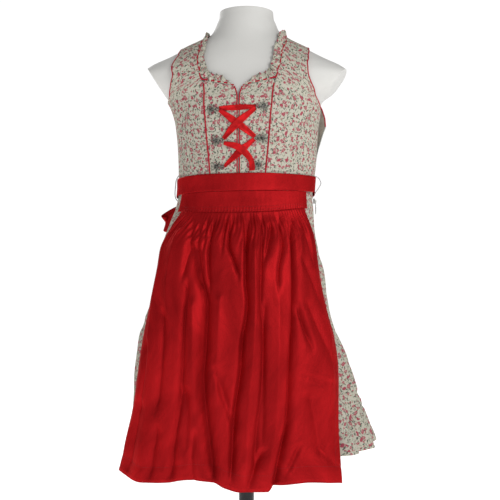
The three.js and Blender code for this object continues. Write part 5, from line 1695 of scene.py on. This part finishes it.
class DIRNDL_OT_zip(bpy.types.Operator):
    """Sew in the zip's tapes, set its teeth and hang its pull tab"""

    bl_idname = "dirndl.zip"
    bl_label = "Side zip"

    def tape(self, name, node, edge, lift, side, tooth):
        run = [(angle, z, raised) for (angle, z), raised in zip(edge, lift)]
        run = paced(run, 70, lambda p: cloth.point(p[:, 0], p[:, 1], p[:, 2]))
        per_mm = 1 / cloth.base(math.pi / 2, run[:, 1])[:, 0]
        near = run[:, 0] + side * TAPE_BESIDE * per_mm
        columns = []
        for share in np.linspace(-0.25, 1, 7):
            columns.append(cloth.point(near + side * TAPE_WIDTH * share * per_mm, run[:, 1],
                                       run[:, 2] + 1.1 - 0.6 * (share < 0)))
        grid = np.stack(columns if side > 0 else columns[::-1], 1)
        tape = shell(name, grid, TAPE_THICKNESS * MM, [finish("zip")])
        dressed(tape, [node])

        edge_points = columns[-2]
        steps = lengths(edge_points[None], 1)[0]
        out = cloth.normal(near, run[:, 1])
        along = unit(np.gradient(edge_points, axis=0))
        teeth = bmesh.new()
        for at in np.arange(1.5, steps[-1] - 1, TOOTH_PITCH):
            place = Vector([np.interp(at, steps, edge_points[:, k]) for k in range(3)])
            up = Vector([np.interp(at, steps, out[:, k]) for k in range(3)]).normalized()
            run_on = Vector([np.interp(at, steps, along[:, k]) for k in range(3)])
            across = run_on.cross(up).normalized() * side * -1
            if across.dot(Vector(columns[-1][0] - columns[0][0])) < 0:
                across.negate()
            turn = Matrix((across, up.cross(across), up)).transposed().to_4x4()
            copy = tooth.data.copy()
            copy.transform(Matrix.Translation(place * MM + up * 0.25 * MM) @ turn)
            teeth.from_mesh(copy)
            bpy.data.meshes.remove(copy)
        mesh = bpy.data.meshes.new(name.replace("tape", "teeth"))
        teeth.to_mesh(mesh)
        teeth.free()
        mesh.materials.append(finish("teeth"))
        dressed(linked(name.replace("tape", "teeth"), mesh), [])

    def refined(self, node, name, bevel):
        """A copy of a metal solid with its doubles merged and its edges rounded."""
        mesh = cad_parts[node].data.copy()
        mesh.name = name
        mesh.materials.clear()
        edit = bmesh.new()
        edit.from_mesh(mesh)
        bmesh.ops.remove_doubles(edit, verts=edit.verts, dist=1e-6)
        bmesh.ops.dissolve_limit(edit, angle_limit=1 * DEGREE, verts=edit.verts, edges=edit.edges)
        edit.to_mesh(mesh)
        edit.free()
        obj = linked(name, mesh)
        apply(obj, "BEVEL", width=bevel * MM, segments=2, limit_method="ANGLE", angle_limit=30 * DEGREE)
        only(obj)
        bpy.ops.object.shade_smooth_by_angle(angle=35 * DEGREE)
        obj.data.materials.append(finish("bright_metal"))
        return obj

    def execute(self, context):
        tooth = tooth_model()
        self.tape("zip_front_tape", "zip_tape_front", FRONT_RIGHT_EDGE[:6], [0] * 6, 1, tooth)
        self.tape("zip_back_tape", "zip_tape_back", BACK_RIGHT_EDGE[:5], FLAP_LIFT, -1, tooth)
        bpy.data.objects.remove(tooth)
        dressed(self.refined("zip_slider", "slider_metal", 0.35), ["zip_slider"])
        dressed(self.refined("zip_pull_tab", "pull_tab_metal", 0.2), ["zip_pull_tab"], TAB)
        return {"FINISHED"}


# The hanger loops: thin cords whose points are an angle in degrees, a height and a distance
LOOP_DIAMETER = 1.8
LOOP_RUNS = {
    "hanger_loop_left": [
        (-97, 690, 3), (-97, 687, 5.5), (-96, 680, 8.3), (-95, 668, 9.3), (-95, 656, 9.3), (-96, 648, 7.6),
        (-97, 643, 3.4),
    ],
    "hanger_loop_right": [
        (102, 690, 3.2), (101, 689.5, 8), (101, 686, 14.5), (101, 678, 18.5), (101, 668, 14.5),
        (101, 658, 8.5), (102, 649, 4), (102, 645, 3),
    ],
}


class DIRNDL_OT_loops(bpy.types.Operator):
    """Hang the two thin loops at the sides of the waist"""

    bl_idname = "dirndl.loops"
    bl_label = "Hanger loops"

    def execute(self, context):
        for node, run in LOOP_RUNS.items():
            angle, z, offset = np.array(run, float).T
            points = paced(cloth.point(angle * DEGREE, z, offset), 36)
            obj = tube(node.replace("hanger", "thin"), points, LOOP_DIAMETER / 2, 12, finish("loop"))
            dressed(obj, [node])
            length = lengths(points[None], 1)[0, -1] * MM
        return {"FINISHED"}


# The stage

CAMERA_PLACE = Vector((0.0063, -1.6, 0.555))
CAMERA_LENS = 64
ROOM_LIGHT = 0.3


class DIRNDL_OT_finishes(bpy.types.Operator):
    """Mix every finish from the chosen colours"""

    bl_idname = "dirndl.finishes"
    bl_label = "Finishes"

    def execute(self, context):
        tints = context.scene.dirndl_colours
        ground, blossom, leaf, lining = (
            tuple(getattr(tints, key)) for key in ("ground", "blossom", "leaf", "lining")
        )
        FINISHES.update({
            "print": print_cloth("printed_cotton", ground, blossom, leaf),
            "wrong_side": print_cloth("cotton_wrong_side", lining, blossom, leaf, strength=0.12),
            "apron": taffeta("apron_taffeta", tuple(tints.apron)),
            "band": taffeta("band_taffeta", tuple(tints.apron)),
            "satin": satin("lacing_satin", tuple(tints.lacing)),
            "piping": covered_cord("piping_cord", tuple(tints.piping)),
            "form": form_cover(),
            "stand": black_metal(),
            "old_silver": old_silver("old_silver", colour(150, 150, 144), colour(30, 31, 29)),
            "bright_metal": old_silver("bright_metal", colour(196, 194, 188), colour(120, 118, 114)),
            "zip": zip_white(),
            "teeth": tooth_plastic(),
            "loop": loop_cord(),
            "red_thread": thread("red_thread", colour(150, 14, 22)),
            "pale_thread": thread("pale_thread", colour(206, 202, 188)),
        })
        return {"FINISHED"}


class DIRNDL_OT_stage(bpy.types.Operator):
    """Set the pale floor, the soft lights and the camera"""

    bl_idname = "dirndl.stage"
    bl_label = "Stage"

    def execute(self, context):
        scene = context.scene
        camera = bpy.data.objects.new("camera", bpy.data.cameras.new("camera"))
        scene.collection.objects.link(camera)
        camera.data.lens = CAMERA_LENS
        camera.data.sensor_width = 36
        camera.data.clip_start = 0.05
        camera.location = CAMERA_PLACE
        camera.rotation_euler = (math.pi / 2, 0, 0)
        scene.camera = camera

        bpy.ops.object.select_all(action="DESELECT")
        bpy.ops.mesh.primitive_plane_add(size=40, location=(0, 0, -0.0005))
        floor = bpy.context.view_layer.objects.active
        floor.name = "floor"
        paint = Paint("floor", roughness=0.9, emission_strength=0.8, emission_color=(1, 1, 1, 1))
        floor.data.materials.append(paint.finish(base_color=(0.93, 0.93, 0.93, 1)))

        world = bpy.data.worlds.new("soft_room")
        world.use_nodes = True
        tree = world.node_tree
        background = tree.nodes["Background"]
        background.inputs["Color"].default_value = (1, 1, 1, 1)
        # The camera sees plain white where the room only lights the cloth a little.
        ray = tree.nodes.new("ShaderNodeLightPath")
        strength = tree.nodes.new("ShaderNodeMapRange")
        strength.inputs["To Min"].default_value = ROOM_LIGHT
        strength.inputs["To Max"].default_value = 1.05
        tree.links.new(ray.outputs["Is Camera Ray"], strength.inputs["Value"])
        tree.links.new(strength.outputs["Result"], background.inputs["Strength"])
        scene.world = world
        scene.view_settings.view_transform = "Standard"

        # Each row: name, place, what it points at, width, power
        lamps = [
            ("key", (1.55, -1.85, 1.8), (0, 0, 0.65), 0.8, 27.5),
            ("fill", (-0.4, -2.4, 1.8), (0, 0, 0.75), 1.2, 5),
            ("back", (-1.3, 2.0, 1.7), (0, 0, 0.6), 1.0, 18),
        ]
        for name, place, aim, width, power in lamps:
            data = bpy.data.lights.new(name, "AREA")
            data.size = width
            data.energy = power
            lamp = bpy.data.objects.new(name, data)
            lamp.location = place
            lamp.rotation_euler = (Vector(aim) - Vector(place)).to_track_quat("-Z", "Y").to_euler()
            scene.collection.objects.link(lamp)
        return {"FINISHED"}


class DIRNDL_PT_panel(bpy.types.Panel):
    """Lists the dirndl's sizes, colours and steps"""

    bl_label = "Dirndl"
    bl_idname = "DIRNDL_PT_panel"
    bl_space_type = "VIEW_3D"
    bl_region_type = "UI"
    bl_category = "Dirndl"

    def draw(self, context):
        for group in (context.scene.dirndl_sizes, context.scene.dirndl_colours):
            for key in group.__annotations__:
                self.layout.prop(group, key)
        for step in STEPS:
            self.layout.operator(step.bl_idname)


STEPS = [
    DIRNDL_OT_stage,
    DIRNDL_OT_finishes,
    DIRNDL_OT_loops,
    DIRNDL_OT_form,
    DIRNDL_OT_stand,
    DIRNDL_OT_skirt,
    DIRNDL_OT_bodice,
    DIRNDL_OT_pipings,
    DIRNDL_OT_ruffle,
    DIRNDL_OT_hooks,
    DIRNDL_OT_lacing,
    DIRNDL_OT_apron,
    DIRNDL_OT_bands,
    DIRNDL_OT_bow,
    DIRNDL_OT_zip,
]
CLASSES = [DirndlColours, DirndlSizes, *STEPS, DIRNDL_PT_panel]


def register():
    for item in CLASSES:
        bpy.utils.register_class(item)
    bpy.types.Scene.dirndl_colours = bpy.props.PointerProperty(type=DirndlColours)
    bpy.types.Scene.dirndl_sizes = bpy.props.PointerProperty(type=DirndlSizes)


def unregister():
    del bpy.types.Scene.dirndl_sizes
    del bpy.types.Scene.dirndl_colours
    for item in reversed(CLASSES):
        bpy.utils.unregister_class(item)


def main():
    register()
    for step in STEPS:
        group, operator = step.bl_idname.split(".")
        getattr(getattr(bpy.ops, group), operator)()


if __name__ == "__main__":
    main()
